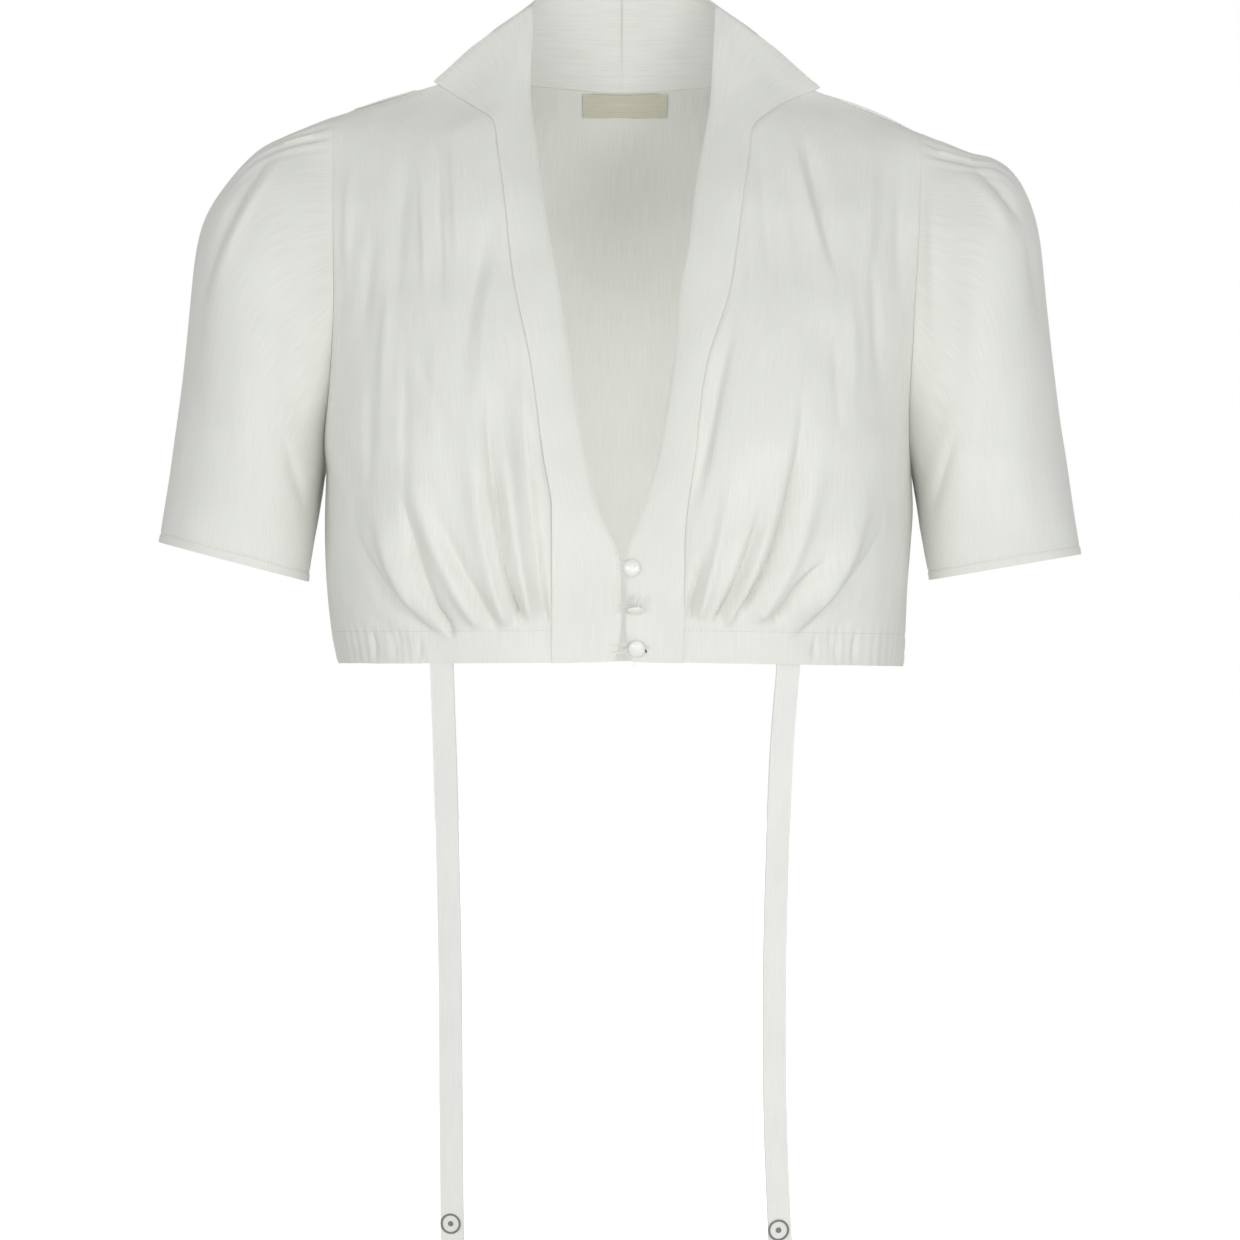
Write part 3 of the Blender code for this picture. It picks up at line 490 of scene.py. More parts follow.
def front_line(side, kind, steps, first=0, last=None):
    """Sample one line down a front: its band seam, the band's free edge or its side."""
    rows = FRONT_ROWS[side][first:last]
    fields = [kind + "_out", kind + "_y", kind + "_z"]
    return smooth([placed(side, *(getattr(row, field) for field in fields)) for row in rows], steps)


def side_line(side, steps):
    """Sample a front's armhole and then its side seam, with a corner at the underarm."""
    armhole = front_line(side, "side", steps, 0, UNDERARM_ROW + 1)
    seam = front_line(side, "side", steps, UNDERARM_ROW)
    return np.concatenate([armhole, seam[1:]])


def fade(value):
    """Rise evenly from 0 to 1."""
    value = np.clip(value, 0.0, 1.0)
    return value * value * (3 - 2 * value)


def outward_normals(grid, flip, ring=False):
    """Find the outward direction at each point of a grid."""
    down = np.gradient(grid, axis=0)
    if ring:
        wrapped = np.concatenate([grid[:, -2:-1], grid, grid[:, 1:2]], axis=1)
        across = np.gradient(wrapped, axis=1)[:, 1:-1]
    else:
        across = np.gradient(grid, axis=1)
    normals = np.cross(across, down)
    normals /= np.maximum(np.linalg.norm(normals, axis=2, keepdims=True), 1e-9)
    return -normals if flip else normals


def fold_relief(out, z, folds, rise=FOLD_FADE, opening=0.0):
    """Add up the heights of the folds over a grid, seen from the front."""
    total = np.zeros_like(out)
    t = np.linspace(0.0, 1.0, 41)
    for fold in folds:
        low, bend, top = (1 - t) ** 2, 2 * t * (1 - t), t ** 2
        path_out = low * fold.low_out + bend * fold.bend_out + top * fold.top_out
        path_z = low * fold.low_z + bend * fold.bend_z + top * fold.top_z
        run_out, run_z = np.gradient(path_out), np.gradient(path_z)
        nearest = np.argmin(np.hypot(out[..., None] - path_out, z[..., None] - path_z), axis=-1)
        off_out, off_z = out - path_out[nearest], z - path_z[nearest]
        run_out, run_z = run_out[nearest], run_z[nearest]
        shift = np.clip((off_out * run_out + off_z * run_z) / (run_out ** 2 + run_z ** 2), -0.6, 0.6)
        off_out, off_z = off_out - shift * run_out, off_z - shift * run_z
        place = np.clip((nearest + shift) / (len(t) - 1), 0.0, 1.0)
        inner_side = run_out * off_z - run_z * off_out > 0
        width = np.where(inner_side, fold.inner, fold.outer) * (1 + opening * (place - 0.5))
        across = np.hypot(off_out, off_z) / width
        ends = fade(place / rise) * fade((1 - place) / FOLD_FADE)
        soft = np.exp(-2.0 * across ** 2)
        pressed = np.exp(-2.6 * across)
        total += fold.height * ends * ((1 - fold.crisp) * soft + fold.crisp * pressed)
    return total


def ripple(grid, seed, scale, height):
    """Add the small unevenness that soft cloth has between its folds."""
    lumps = np.zeros(grid.shape[:2])
    for row in range(grid.shape[0]):
        for column in range(grid.shape[1]):
            x, y, z = grid[row, column]
            lumps[row, column] = noise.noise(Vector((x / scale + seed, y / scale, z / (2.2 * scale))))
    return height * lumps


def seam_ditch(distance, depth=0.12, width=1.0):
    """Sink cloth towards a seam that is this many millimetres away."""
    return -depth * np.exp(-(distance / width) ** 2)


def reach_from(grid, edge):
    """Count millimetres from one edge of a grid, along its rows or columns."""
    along_rows = edge in ("inner", "outer")
    steps = np.linalg.norm(np.diff(grid, axis=1 if along_rows else 0), axis=2)
    if along_rows:
        reach = np.concatenate([np.zeros((grid.shape[0], 1)), np.cumsum(steps, axis=1)], axis=1)
        return reach if edge == "inner" else reach[:, -1:] - reach
    reach = np.concatenate([np.zeros((1, grid.shape[1])), np.cumsum(steps, axis=0)], axis=0)
    return reach if edge == "top" else reach[-1:] - reach


def line_at(grid, reach, distance):
    """Follow the line across a grid that is this many millimetres from one edge."""
    line = []
    for column in range(grid.shape[1]):
        order = np.argsort(reach[:, column])
        far = reach[order, column]
        line.append([np.interp(distance, far, grid[order, column, axis]) for axis in range(3)])
    return np.array(line)


def stitch_row(line):
    """Sew a row of short thread stitches along a line."""
    length = np.linalg.norm(np.diff(line, axis=0), axis=1).sum()
    places = along(line, round(length / STITCH_PITCH))
    sewn = bmesh.new()
    for start, stop in zip(places, places[1:]):
        middle = Vector((start + stop) / 2 * MM)
        turn = Vector(stop - start).to_track_quat("X", "Z").to_matrix().to_4x4()
        shape = Matrix.Diagonal((STITCH_LENGTH / 2 * MM, STITCH_RADIUS * MM, STITCH_RADIUS * MM, 1))
        bmesh.ops.create_uvsphere(
            sewn,
            u_segments=6,
            v_segments=5,
            radius=1.0,
            matrix=Matrix.Translation(middle) @ turn @ shape,
        )
    return sewn


def ease_corner(line, reach=24):
    """Round a sampled line's corners, so that the cloth beside it bends evenly."""
    eased = line.copy()
    for index in range(len(line)):
        span = min(reach, index, len(line) - 1 - index)
        weights = 1 + np.cos(np.pi * np.arange(-span, span + 1) / (span + 1))
        near = line[index - span:index + span + 1]
        eased[index] = np.tensordot(weights / weights.sum(), near, axes=1)
    return eased


def plain_front(side, steps, columns):
    """Lay out one front without folds: rows run down, columns from the band to the side."""
    seam = front_line(side, "seam", steps)[:, None]
    outer = side_line(side, steps)[:, None]
    eased = ease_corner(outer)
    shape = smooth([[row.full_in, row.full_out, row.wide] for row in FRONT_ROWS[side]], steps)
    t = (np.arange(columns + 1) / columns)[None, :, None]
    lean_in = np.zeros((len(seam), 1, 3))
    lean_out = np.zeros((len(seam), 1, 3))
    lean_in[:, 0, 1] = -shape[:, 0]
    lean_out[:, 0, 1] = -shape[:, 1]
    lean_out[:, 0, 0] = SIGN[side] * shape[:, 2]
    handle_in = seam + (eased - seam) / 3 + lean_in
    handle_out = seam + (eased - seam) * 2 / 3 + lean_out
    return (
        (1 - t) ** 3 * seam
        + 3 * t * (1 - t) ** 2 * handle_in
        + 3 * t * t * (1 - t) * handle_out
        + t ** 3 * outer
    )


# Sewing thread is a fine spun polyester. Its colour is painted a little darker than the cloth, as painted
# shade where the stitches sink in, which gives the eye a faint broken line.
sewing_thread_painted_shade, thread_tree, thread_shader = blank_material("off-white sewing thread with painted shade")
thread_shader.inputs["Base Color"].default_value = linear("#CFD1CA")
thread_shader.inputs["Roughness"].default_value = 0.6

for side in ("left", "right"):
    grid = plain_front(side, FRONT_STEPS, FRONT_COLUMNS)
    mirrored = side == "right"
    threads = even_threads(grid)
    outward = outward_normals(grid, mirrored)
    from_band = reach_from(grid, "inner")
    from_side = reach_from(grid, "outer")
    from_shoulder = reach_from(grid, "top")
    from_hem = reach_from(grid, "bottom")
    calm = fade(from_band / 4) * fade(from_side / 12) * fade(from_shoulder / 8)
    out, height = np.abs(grid[..., 0]), grid[..., 2]
    relief = fold_relief(out, height, FRONT_PLEATS[side], PLEAT_RISE, 0.8)
    relief = (relief + fold_relief(out, height, FRONT_DRAPES[side])) * calm
    relief += ripple(grid, 3.1 if mirrored else 0.0, 14.0, RIPPLE_MM) * calm
    relief += ripple(grid, 5.9 if mirrored else 2.3, 38.0, SWELL_MM) * calm
    gathered = fade((130 - from_side) / 60) * fade(from_hem / 2) * fade((34 - from_hem) / 16)
    uneven = 0.6 + 0.4 * np.sin(from_side / 7.3 + 1.1)
    waves = np.cos(from_side * 2 * math.pi / 7.5 + 4 * np.sin(from_side / 17))
    relief += 0.35 * gathered * uneven * waves
    relief += seam_ditch(from_band) + seam_ditch(from_side) + seam_ditch(from_shoulder)
    relief += seam_ditch(from_hem - HEM_RISE, 0.5, 1.2)
    grid = grid + relief[..., None] * outward
    front = add_piece(
        "front_cloth_" + side,
        cloth_sheet(grid, threads, not mirrored, WALL),
        crepe,
        "cloth",
        "front_" + side,
    )
    sewn = line_at(grid, reach_from(grid, "bottom"), HEM_RISE)
    add_piece("waist_stitches_" + side, stitch_row(sewn), sewing_thread_painted_shade, "cloth")


# Back: one piece of crepe from the neck and shoulder seams to the hem, smooth over the shoulder
# blades and drawn in by the elastic at the waist.
BACK_STEPS = 9
NECK_COLUMNS = 64
SHOULDER_COLUMNS = 32

BackRow = namedtuple("BackRow", "name centre_y centre_z blade_out blade_y blade_z turn")
BACK_ROWS = [
    BackRow("neck", 68, -3, None, None, None, 0.0),
    BackRow("yoke", 82, -26, 124, 38, -16, 0.0),
    BackRow("shoulder", 94, -60, 125, 64, -46, 0.0),
    BackRow("blade", 101, -102, 126, 81, -92, 0.1),
    BackRow("armhole", 103, -148, 126, 88, -146, 0.3),
    BackRow("under blade", 102, -192, 127, 88, -190, 0.5),
    BackRow("low armhole", 99, -232, 128, 86, -231, 0.8),
    BackRow("underarm", 96, -262, 128, 83, -262, 1.0),
    BackRow("under bust", 94, -288, 127, 80, -288, 1.0),
    BackRow("top button", 93, -312, 126, 78, -312, 1.0),
    BackRow("overhang", 92, -336, 125, 77, -336, 1.0),
    BackRow("waist seam", 91, -361, 123, 76, -361, 1.0),
    BackRow("hem", 90, -384, 120, 75, -385, 1.0),
]

ArmPoint = namedtuple("ArmPoint", "name out y z")
BACK_ARMHOLE = {
    "left": [
        ArmPoint("yoke", 190, 40, -35),
        ArmPoint("shoulder", 188, 58, -70),
        ArmPoint("blade", 187.5, 67, -114),
        ArmPoint("armhole", 189, 66, -162),
        ArmPoint("under blade", 192, 54, -200),
        ArmPoint("low armhole", 195, 30, -238),
    ],
    "right": [
        ArmPoint("yoke", 197, 40, -46),
        ArmPoint("shoulder", 195, 58, -80),
        ArmPoint("blade", 193, 67, -121),
        ArmPoint("armhole", 190, 66, -166),
        ArmPoint("under blade", 189, 54, -202),
        ArmPoint("low armhole", 189.5, 30, -240),
    ],
}

BACK_FOLDS = [
    Fold("blade left", -70, -330, -80, -240, -95, -120, 16, 16, 1.6, 0.0),
    Fold("blade right", 66, -335, 82, -230, 92, -110, 15, 15, 1.5, 0.0),
    Fold("centre hollow", 2, -370, -3, -250, 3, -110, 18, 18, -1.8, 0.0),
    Fold("waist left 1", -48, -366, -50, -335, -55, -285, 6, 6, -1.8, 0.3),
    Fold("waist left 2", -92, -366, -98, -325, -104, -270, 7, 7, -2.2, 0.3),
    Fold("waist left 3", -132, -366, -138, -330, -146, -288, 6, 6, -1.8, 0.3),
    Fold("waist right 1", 39, -366, 42, -330, 46, -276, 6, 6, -1.9, 0.3),
    Fold("waist right 2", 84, -366, 92, -330, 99, -280, 7, 7, -2.0, 0.3),
    Fold("waist right 3", 125, -366, 134, -325, 141, -270, 6, 6, -2.0, 0.3),
    Fold("armhole left", -168, -210, -160, -150, -166, -70, 9, 9, -1.8, 0.0),
    Fold("armhole right", 168, -205, 162, -140, 170, -75, 9, 9, -1.8, 0.0),
]


def unit(vectors):
    return vectors / np.maximum(np.linalg.norm(vectors, axis=-1, keepdims=True), 1e-9)


def back_armhole(side, steps):
    shoulder = front_line(side, "side", steps)[0]
    underarm = front_line(side, "side", steps, UNDERARM_ROW)[0]
    middle = [placed(side, point.out, point.y, point.z) for point in BACK_ARMHOLE[side]]
    return smooth([shoulder] + middle + [underarm], steps)


def hermite(start, stop, leave, arrive, count):
    t = (np.arange(count) / count)[None, :, None]
    return (
        (2 * t ** 3 - 3 * t * t + 1) * start
        + (t ** 3 - 2 * t * t + t) * leave
        + (3 * t * t - 2 * t ** 3) * stop
        + (t ** 3 - t * t) * arrive
    )


def half_back(side, steps, neck_columns, shoulder_columns):
    """Lay out half the back: rows run down, columns from the centre to the side."""
    side_part = front_line(side, "side", steps, UNDERARM_ROW)
    ends = np.concatenate([back_armhole(side, steps), side_part[1:]])[:, None]
    centres = smooth([[0, row.centre_y, row.centre_z] for row in BACK_ROWS], steps)[:, None]
    neck_point = front_line(side, "seam", steps)[0]
    blades = [neck_point]
    blades += [placed(side, row.blade_out, row.blade_y, row.blade_z) for row in BACK_ROWS[1:]]
    blades = smooth(blades, steps)[:, None]
    turns = smooth([[row.turn, 0, 0] for row in BACK_ROWS], steps)[:, None, :1]
    to_blade, to_end = blades - centres, ends - blades
    blade_length = np.linalg.norm(to_blade, axis=-1, keepdims=True)
    end_length = np.linalg.norm(to_end, axis=-1, keepdims=True)
    heading = unit(unit(to_blade) + unit(to_end))
    natural = unit(2 * unit(to_end) - heading)
    last = unit((1 - turns) * natural + turns * np.array([0.0, -1.0, 0.0]))
    first = to_blade * [1.0, 0.0, 0.0]
    inner = hermite(centres, blades, first, heading * blade_length, neck_columns)
    outer = hermite(blades, ends, heading * end_length, last * end_length, shoulder_columns)
    grid = np.concatenate([inner, outer, ends], axis=1)
    shares = (np.arange(shoulder_columns + 1) / shoulder_columns)[:, None]
    grid[0, neck_columns:] = (1 - shares) * neck_point + shares * ends[0]
    return grid


left_half = half_back("left", BACK_STEPS, NECK_COLUMNS, SHOULDER_COLUMNS)
right_half = half_back("right", BACK_STEPS, NECK_COLUMNS, SHOULDER_COLUMNS)
back_grid = np.concatenate([left_half[:, ::-1], right_half[:, 1:]], axis=1)
back_threads = even_threads(back_grid)
outward = outward_normals(back_grid, False)
from_left = reach_from(back_grid, "inner")
from_right = reach_from(back_grid, "outer")
from_neck = reach_from(back_grid, "top")
from_hem = reach_from(back_grid, "bottom")
calm = fade(from_left / 12) * fade(from_right / 12) * fade(from_neck / 12)
relief = fold_relief(back_grid[..., 0], back_grid[..., 2], BACK_FOLDS) * calm
relief += ripple(back_grid, 7.7, 20.0, 0.5) * calm
gathered = fade(from_hem / 2) * fade((32 - from_hem) / 16)
relief += 0.8 * gathered * np.cos(from_left * 2 * math.pi / 8.0 + 2 * np.sin(from_left / 21))
relief += seam_ditch(from_left) + seam_ditch(from_right) + seam_ditch(from_neck)
relief += seam_ditch(from_hem - HEM_RISE, 0.5, 1.2)
back_surface = back_grid + relief[..., None] * outward
back_shell = cloth_sheet(back_surface, back_threads, True, WALL)
back = add_piece("back_cloth", back_shell, crepe, "cloth", "back")


# Collar and front band: one doubled strip of crepe on each side, seamed at the centre back. It
# stands soft and high behind the neck and runs down the front edge to the hem.
COLLAR_WALL = 1.6
COLLAR_STEPS = 24

CollarTop = namedtuple("CollarTop", "name out y z")
COLLAR_TOP = [
    CollarTop("side back", 52, 42, 59),
    CollarTop("back", 29, 56, 65),
    CollarTop("centre back", 0, 61, 67),
]


def collar_surface(side, steps, neck_columns, collar_columns):
    """Lay out half the collar: rows from the hem up and round, columns from seam to free edge."""
    behind = half_back(side, steps, neck_columns, 4)[0, :neck_columns + 1][::-1]
    seam = np.concatenate([front_line(side, "seam", steps)[::-1], behind[1:]])
    band_edge = front_line(side, "edge", steps)
    top = [band_edge[0]] + [placed(side, top.out, top.y, top.z) for top in COLLAR_TOP]
    top = along(smooth(top, 8), neck_columns)
    edge = np.concatenate([band_edge[::-1], top[1:]])
    share = np.linspace(0.0, 1.0, collar_columns + 1)[None, :, None]
    grid = seam[:, None, :] * (1 - share) + edge[:, None, :] * share
    height = np.linspace(0.0, 1.0, len(seam))[:, None, None]
    round_out = 1.0 + 3.0 * fade((height - 0.55) / 0.3)
    return grid + outward_normals(grid, side == "right") * round_out * 4 * share * (1 - share)


for side in ("left", "right"):
    mirrored = side == "right"
    grid = collar_surface(side, FRONT_STEPS, NECK_COLUMNS, COLLAR_STEPS)
    threads = even_threads(grid)
    outward = outward_normals(grid, mirrored)
    from_seam = reach_from(grid, "inner")
    from_edge = reach_from(grid, "outer")
    from_centre = reach_from(grid, "bottom")
    relief = seam_ditch(from_seam) + seam_ditch(from_centre, 0.6, 1.2)
    relief += -0.5 * np.exp(-(from_edge / 1.2) ** 2)
    relief += ripple(grid, 11.3 if mirrored else 9.1, 14.0, 0.5)
    grid = grid + relief[..., None] * outward
    collar = add_piece(
        "collar_cloth_" + side,
        cloth_sheet(grid, threads, mirrored, COLLAR_WALL),
        doubled_crepe,
        "collar_cloth",
        "collar_" + side,
    )


# Sleeves: half sleeves of one piece each, gathered into the armhole over the shoulder, with a
# narrow turned hem that is stitched down all round.
SLEEVE_STEPS = 12
SLEEVE_POINTS = 220
GATHER_SPACING = 11.0
GATHER_HEIGHT = 1.6
GATHER_REACH = 46.0
BLEND_RINGS = 4
SLEEVE_HEM = 6.0
HEM_ROWS = 4

Ring = namedtuple("Ring", "name head_out head_z under_out under_z half_depth mid_y")
SLEEVE_RINGS = {
    "left": [
        Ring("armhole", 191, -23, 195, -258, 58, 12),
        Ring("gathers", 205, -30, 196, -263, 64, 12),
        Ring("head", 222, -37, 197.2, -268, 70, 12),
        Ring("cap", 241, -47, 198.2, -273, 75, 12),
        Ring("crown", 259, -65, 199.2, -279, 77, 11),
        Ring("upper arm", 272, -84, 200.2, -286, 77, 10),
        Ring("biceps", 280, -108, 201.4, -294, 75, 9),
        Ring("middle", 285.5, -150, 202.8, -303, 71, 7),
        Ring("lower", 290.5, -200, 204.2, -312, 66, 5),
        Ring("over hem", 297, -250, 205.6, -321, 60, 3),
        Ring("hem", 305.6, -305, 207, -331, 53, 2),
    ],
    "right": [
        Ring("armhole", 198, -34, 191, -260, 58, 12),
        Ring("gathers", 212, -41, 192, -265, 64, 12),
        Ring("head", 229, -48, 193, -270, 70, 12),
        Ring("cap", 246, -52, 194, -275, 75, 12),
        Ring("crown", 259, -61, 195, -281, 77, 11),
        Ring("upper arm", 269, -79, 196, -288, 77, 10),
        Ring("biceps", 276, -105, 197.2, -296, 75, 9),
        Ring("middle", 281, -150, 198.6, -304, 71, 7),
        Ring("lower", 286, -198, 200, -313, 66, 5),
        Ring("over hem", 294, -256, 201.5, -321, 60, 3),
        Ring("hem", 303, -313, 203, -330, 53, 2),
    ],
}

SLEEVE_FOLDS = {
    "left": [
        Fold("head crease", 279, -165, 263, -86, 221, -38, 4, 7, -3.4, 0.5),
        Fold("head ridge", 268, -150, 251, -92, 217, -46, 7, 6, 3.0, 0.0),
        Fold("second crease", 262, -140, 245, -88, 212, -44, 5, 5, -1.6, 0.3),
        Fold("outer hollow", 284, -220, 280, -160, 270, -105, 8, 8, -1.6, 0.0),
        Fold("front hollow", 222, -250, 214, -170, 208, -90, 12, 12, -1.6, 0.0),
        Fold("underarm crease", 204, -300, 212, -260, 224, -225, 5, 6, -1.8, 0.2),
        Fold("lower ridge", 250, -300, 246, -240, 252, -180, 14, 14, 1.0, 0.0),
    ],
    "right": [
        Fold("head crease", 266, -104, 252, -72, 222, -52, 4, 6, -3.6, 0.5),
        Fold("head ridge", 258, -112, 246, -80, 220, -60, 6, 7, 2.6, 0.0),
        Fold("outer crease", 277, -170, 268, -120, 264, -96, 5, 7, -2.0, 0.3),
        Fold("seam ridge", 203, -190, 203, -120, 203, -60, 5, 5, 1.6, 0.0),
        Fold("front hollow", 226, -250, 217, -170, 212, -90, 12, 12, -1.6, 0.0),
        Fold("underarm crease", 200, -300, 208, -258, 222, -222, 5, 6, -1.8, 0.2),
        Fold("lower hollow", 234, -310, 238, -250, 250, -190, 12, 12, -1.0, 0.0),
    ],
}


def resample(grid, places):
    """Read a grid at places between its rows."""
    low = np.minimum(places.astype(int), len(grid) - 2)
    share = (places - low)[:, None, None]
    return grid[low] * (1 - share) + grid[low + 1] * share


def sleeve_surface(side):
    """Lay out one sleeve: rows are rings from the armhole to the hem, closed by a last column."""
    front = front_line(side, "side", FRONT_STEPS, 0, UNDERARM_ROW + 1)
    behind = back_armhole(side, BACK_STEPS)[::-1]
    ring = np.concatenate([front, behind[1:]])
    reach = np.concatenate([[0.0], np.cumsum(np.linalg.norm(np.diff(ring, axis=0), axis=1))])
    half = reach[len(front) - 1]
    places = np.linspace(0.0, reach[-1], SLEEVE_POINTS + 1)
    points = np.column_stack([np.interp(places, reach, ring[:, axis]) for axis in range(3)])
    angles = np.where(
        places <= half,
        math.pi * places / half,
        math.pi * (1 + (places - half) / (reach[-1] - half)),
    )
    rows = SLEEVE_RINGS[side]
    shape = [smooth([[row.head_out, row.head_z, 0] for row in rows], SLEEVE_STEPS)]
    shape.append(smooth([[row.under_out, row.under_z, 0] for row in rows], SLEEVE_STEPS))
    shape.append(smooth([[row.half_depth, row.mid_y, 0] for row in rows], SLEEVE_STEPS))
    head, under, depth = [part[:, None] for part in shape]
    down = ((1 - np.cos(angles)) / 2)[None, :]
    out = head[..., 0] + (under[..., 0] - head[..., 0]) * down
    z = head[..., 1] + (under[..., 1] - head[..., 1]) * down
    y = depth[..., 1] - depth[..., 0] * np.sin(angles)[None, :]
    grid = np.stack([SIGN[side] * out, y, z], axis=2)
    order = np.arange(len(grid)) / SLEEVE_STEPS
    keep = np.maximum(0.0, 1 - order / BLEND_RINGS) ** 2
    grid = grid + keep[:, None, None] * (points - grid[0])[None]
    last = len(grid) - 1
    rows = np.concatenate([np.arange(last - HEM_ROWS), np.linspace(last - HEM_ROWS, last, 32)])
    return resample(grid, rows), np.minimum(places, reach[-1] - places), rows / SLEEVE_STEPS


for side in ("left", "right"):
    mirrored = side == "right"
    grid, from_top, order = sleeve_surface(side)
    threads = even_threads(grid)
    outward = outward_normals(grid, not mirrored, ring=True)
    from_armhole = reach_from(grid, "top")
    from_hem = reach_from(grid, "bottom")
    swell = np.interp(order, [0, 1, 2, 3, 4, 5], [0.0, 1.0, 0.9, 0.5, 0.2, 0.0])
    gathers = np.cos(2 * math.pi * from_top / GATHER_SPACING) * fade(2 - 2 * from_top / GATHER_REACH)
    relief = GATHER_HEIGHT * swell[:, None] * gathers[None, :]
    to_front = fade((10 - grid[..., 1]) / 20) * 2 - 1
    folds = fold_relief(np.abs(grid[..., 0]), grid[..., 2], SLEEVE_FOLDS[side])
    relief += folds * np.abs(to_front)
    calm = fade(from_armhole / 10) * fade(from_hem / 12)
    relief += ripple(grid, 17.9 if mirrored else 15.3, 22.0, 0.7) * calm
    relief += seam_ditch(from_armhole) + seam_ditch(from_hem - SLEEVE_HEM, 0.5, 0.9)
    relief += 0.25 * fade((SLEEVE_HEM - from_hem) / 1.5)
    grid = grid + relief[..., None] * outward
    sleeve = add_piece(
        "sleeve_cloth_" + side,
        cloth_sheet(grid, threads, mirrored, WALL),
        crepe,
        "cloth",
        "sleeve_" + side,
    )
    sewn = line_at(grid, reach_from(grid, "bottom"), SLEEVE_HEM)
    add_piece("sleeve_hem_stitches_" + side, stitch_row(sewn), sewing_thread_painted_shade, "cloth")


# Neck label: a small woven label in plain beige, sewn flat inside the back neck and left bare.
LABEL_LEFT, LABEL_RIGHT = -26.4, 30.4
LABEL_TOP, LABEL_BOTTOM = -4.5, -19.5
LABEL_WALL = 0.7
LABEL_GAP = 0.3


def woven_label():
    made, tree, shader = blank_material("woven beige label")
    threads = node(tree, "ShaderNodeUVMap", {"uv_map": "weave"}).outputs["UV"]
    ribs = node(tree, "ShaderNodeTexWave", {"bands_direction": "Y"}, Vector=threads, Scale=180.0)
    tones = node(tree, "ShaderNodeMix", {"data_type": "RGBA"}, Factor=ribs.outputs["Fac"])
    tones.inputs[6].default_value = linear("#C6C3B0")
    tones.inputs[7].default_value = linear("#D2CFBE")
    tree.links.new(tones.outputs[2], shader.inputs["Base Color"])
    bump = node(tree, "ShaderNodeBump", Height=ribs.outputs["Fac"], Strength=0.3, Distance=0.0002)
    tree.links.new(bump.outputs["Normal"], shader.inputs["Normal"])
    shader.inputs["Roughness"].default_value = 0.7
    return made


inside = back_surface - unit(outward_normals(back_surface, False)) * (WALL + LABEL_GAP)
label_rows = []
for z in np.linspace(LABEL_TOP, LABEL_BOTTOM, 9):
    line = []
    for x in np.linspace(LABEL_LEFT, LABEL_RIGHT, 25):
        nearest = np.argmin(np.hypot(inside[:20, :, 0] - x, inside[:20, :, 2] - z))
        line.append([x, inside[:20].reshape(-1, 3)[nearest, 1], z])
    label_rows.append(line)
label_grid = np.array(label_rows)
label = add_piece(
    "neck_label",
    cloth_sheet(label_grid, even_threads(label_grid), True, LABEL_WALL),
    woven_label(),
    "label",
    "label",
)


# Buttons: three small pearly shank buttons, domed with a soft rim, on the right band.
BUTTON_RADIUS = 5.6
BUTTON_HEIGHT = 5.4
SHANK_RADIUS = 1.4
SHANK_HEIGHT = 2.1
BUTTON_SEGMENTS = 48

Button = namedtuple("Button", "name x y z tilt")

# Each row places the foot of a shank, and its tilt turns the face down in degrees
BUTTONS = [
    Button("top", 6.4, -115.26, -323.0, 0),
    Button("middle", 8.6, -117.73, -347.46, 70),
    Button("bottom", 9.4, -110.56, -374.44, 12),
]
BUTTON_PROFILE = [
    (0.0, 1.0),
    (0.3, 0.992),
    (0.55, 0.955),
    (0.76, 0.88),
    (0.9, 0.785),
    (0.98, 0.69),
    (1.0, 0.61),
    (0.985, 0.53),
    (0.94, 0.46),
    (0.85, 0.41),
    (0.7, SHANK_HEIGHT / BUTTON_HEIGHT),
]


# Pearly buttons are cast from polyester with mica in it and tumbled to a gloss. They give the
# eye a milky white body with a clear highlight and faint clouds under the surface.
def pearl():
    made, tree, shader = blank_material("pearly cast button")
    place = node(tree, "ShaderNodeTexCoord").outputs["Object"]
    clouds = node(tree, "ShaderNodeTexNoise", Vector=place, Scale=400.0, Detail=2.0)
    tones = node(tree, "ShaderNodeMix", {"data_type": "RGBA"}, Factor=clouds.outputs["Fac"])
    tones.inputs[6].default_value = linear("#E2E4DD")
    tones.inputs[7].default_value = linear("#F2F3EE")
    tree.links.new(tones.outputs[2], shader.inputs["Base Color"])
    shader.inputs["Roughness"].default_value = 0.16
    shader.inputs["Specular IOR Level"].default_value = 0.6
    shader.inputs["Coat Weight"].default_value = 0.5
    shader.inputs["Coat Roughness"].default_value = 0.08
    return made


def button_frame(button):
    """Find the way a button faces and the two ways across it."""
    tilt = math.radians(button.tilt)
    axis = np.array([0.0, -math.cos(tilt), -math.sin(tilt)])
    across = np.array([1.0, 0.0, 0.0])
    return axis, across, np.cross(axis, across)


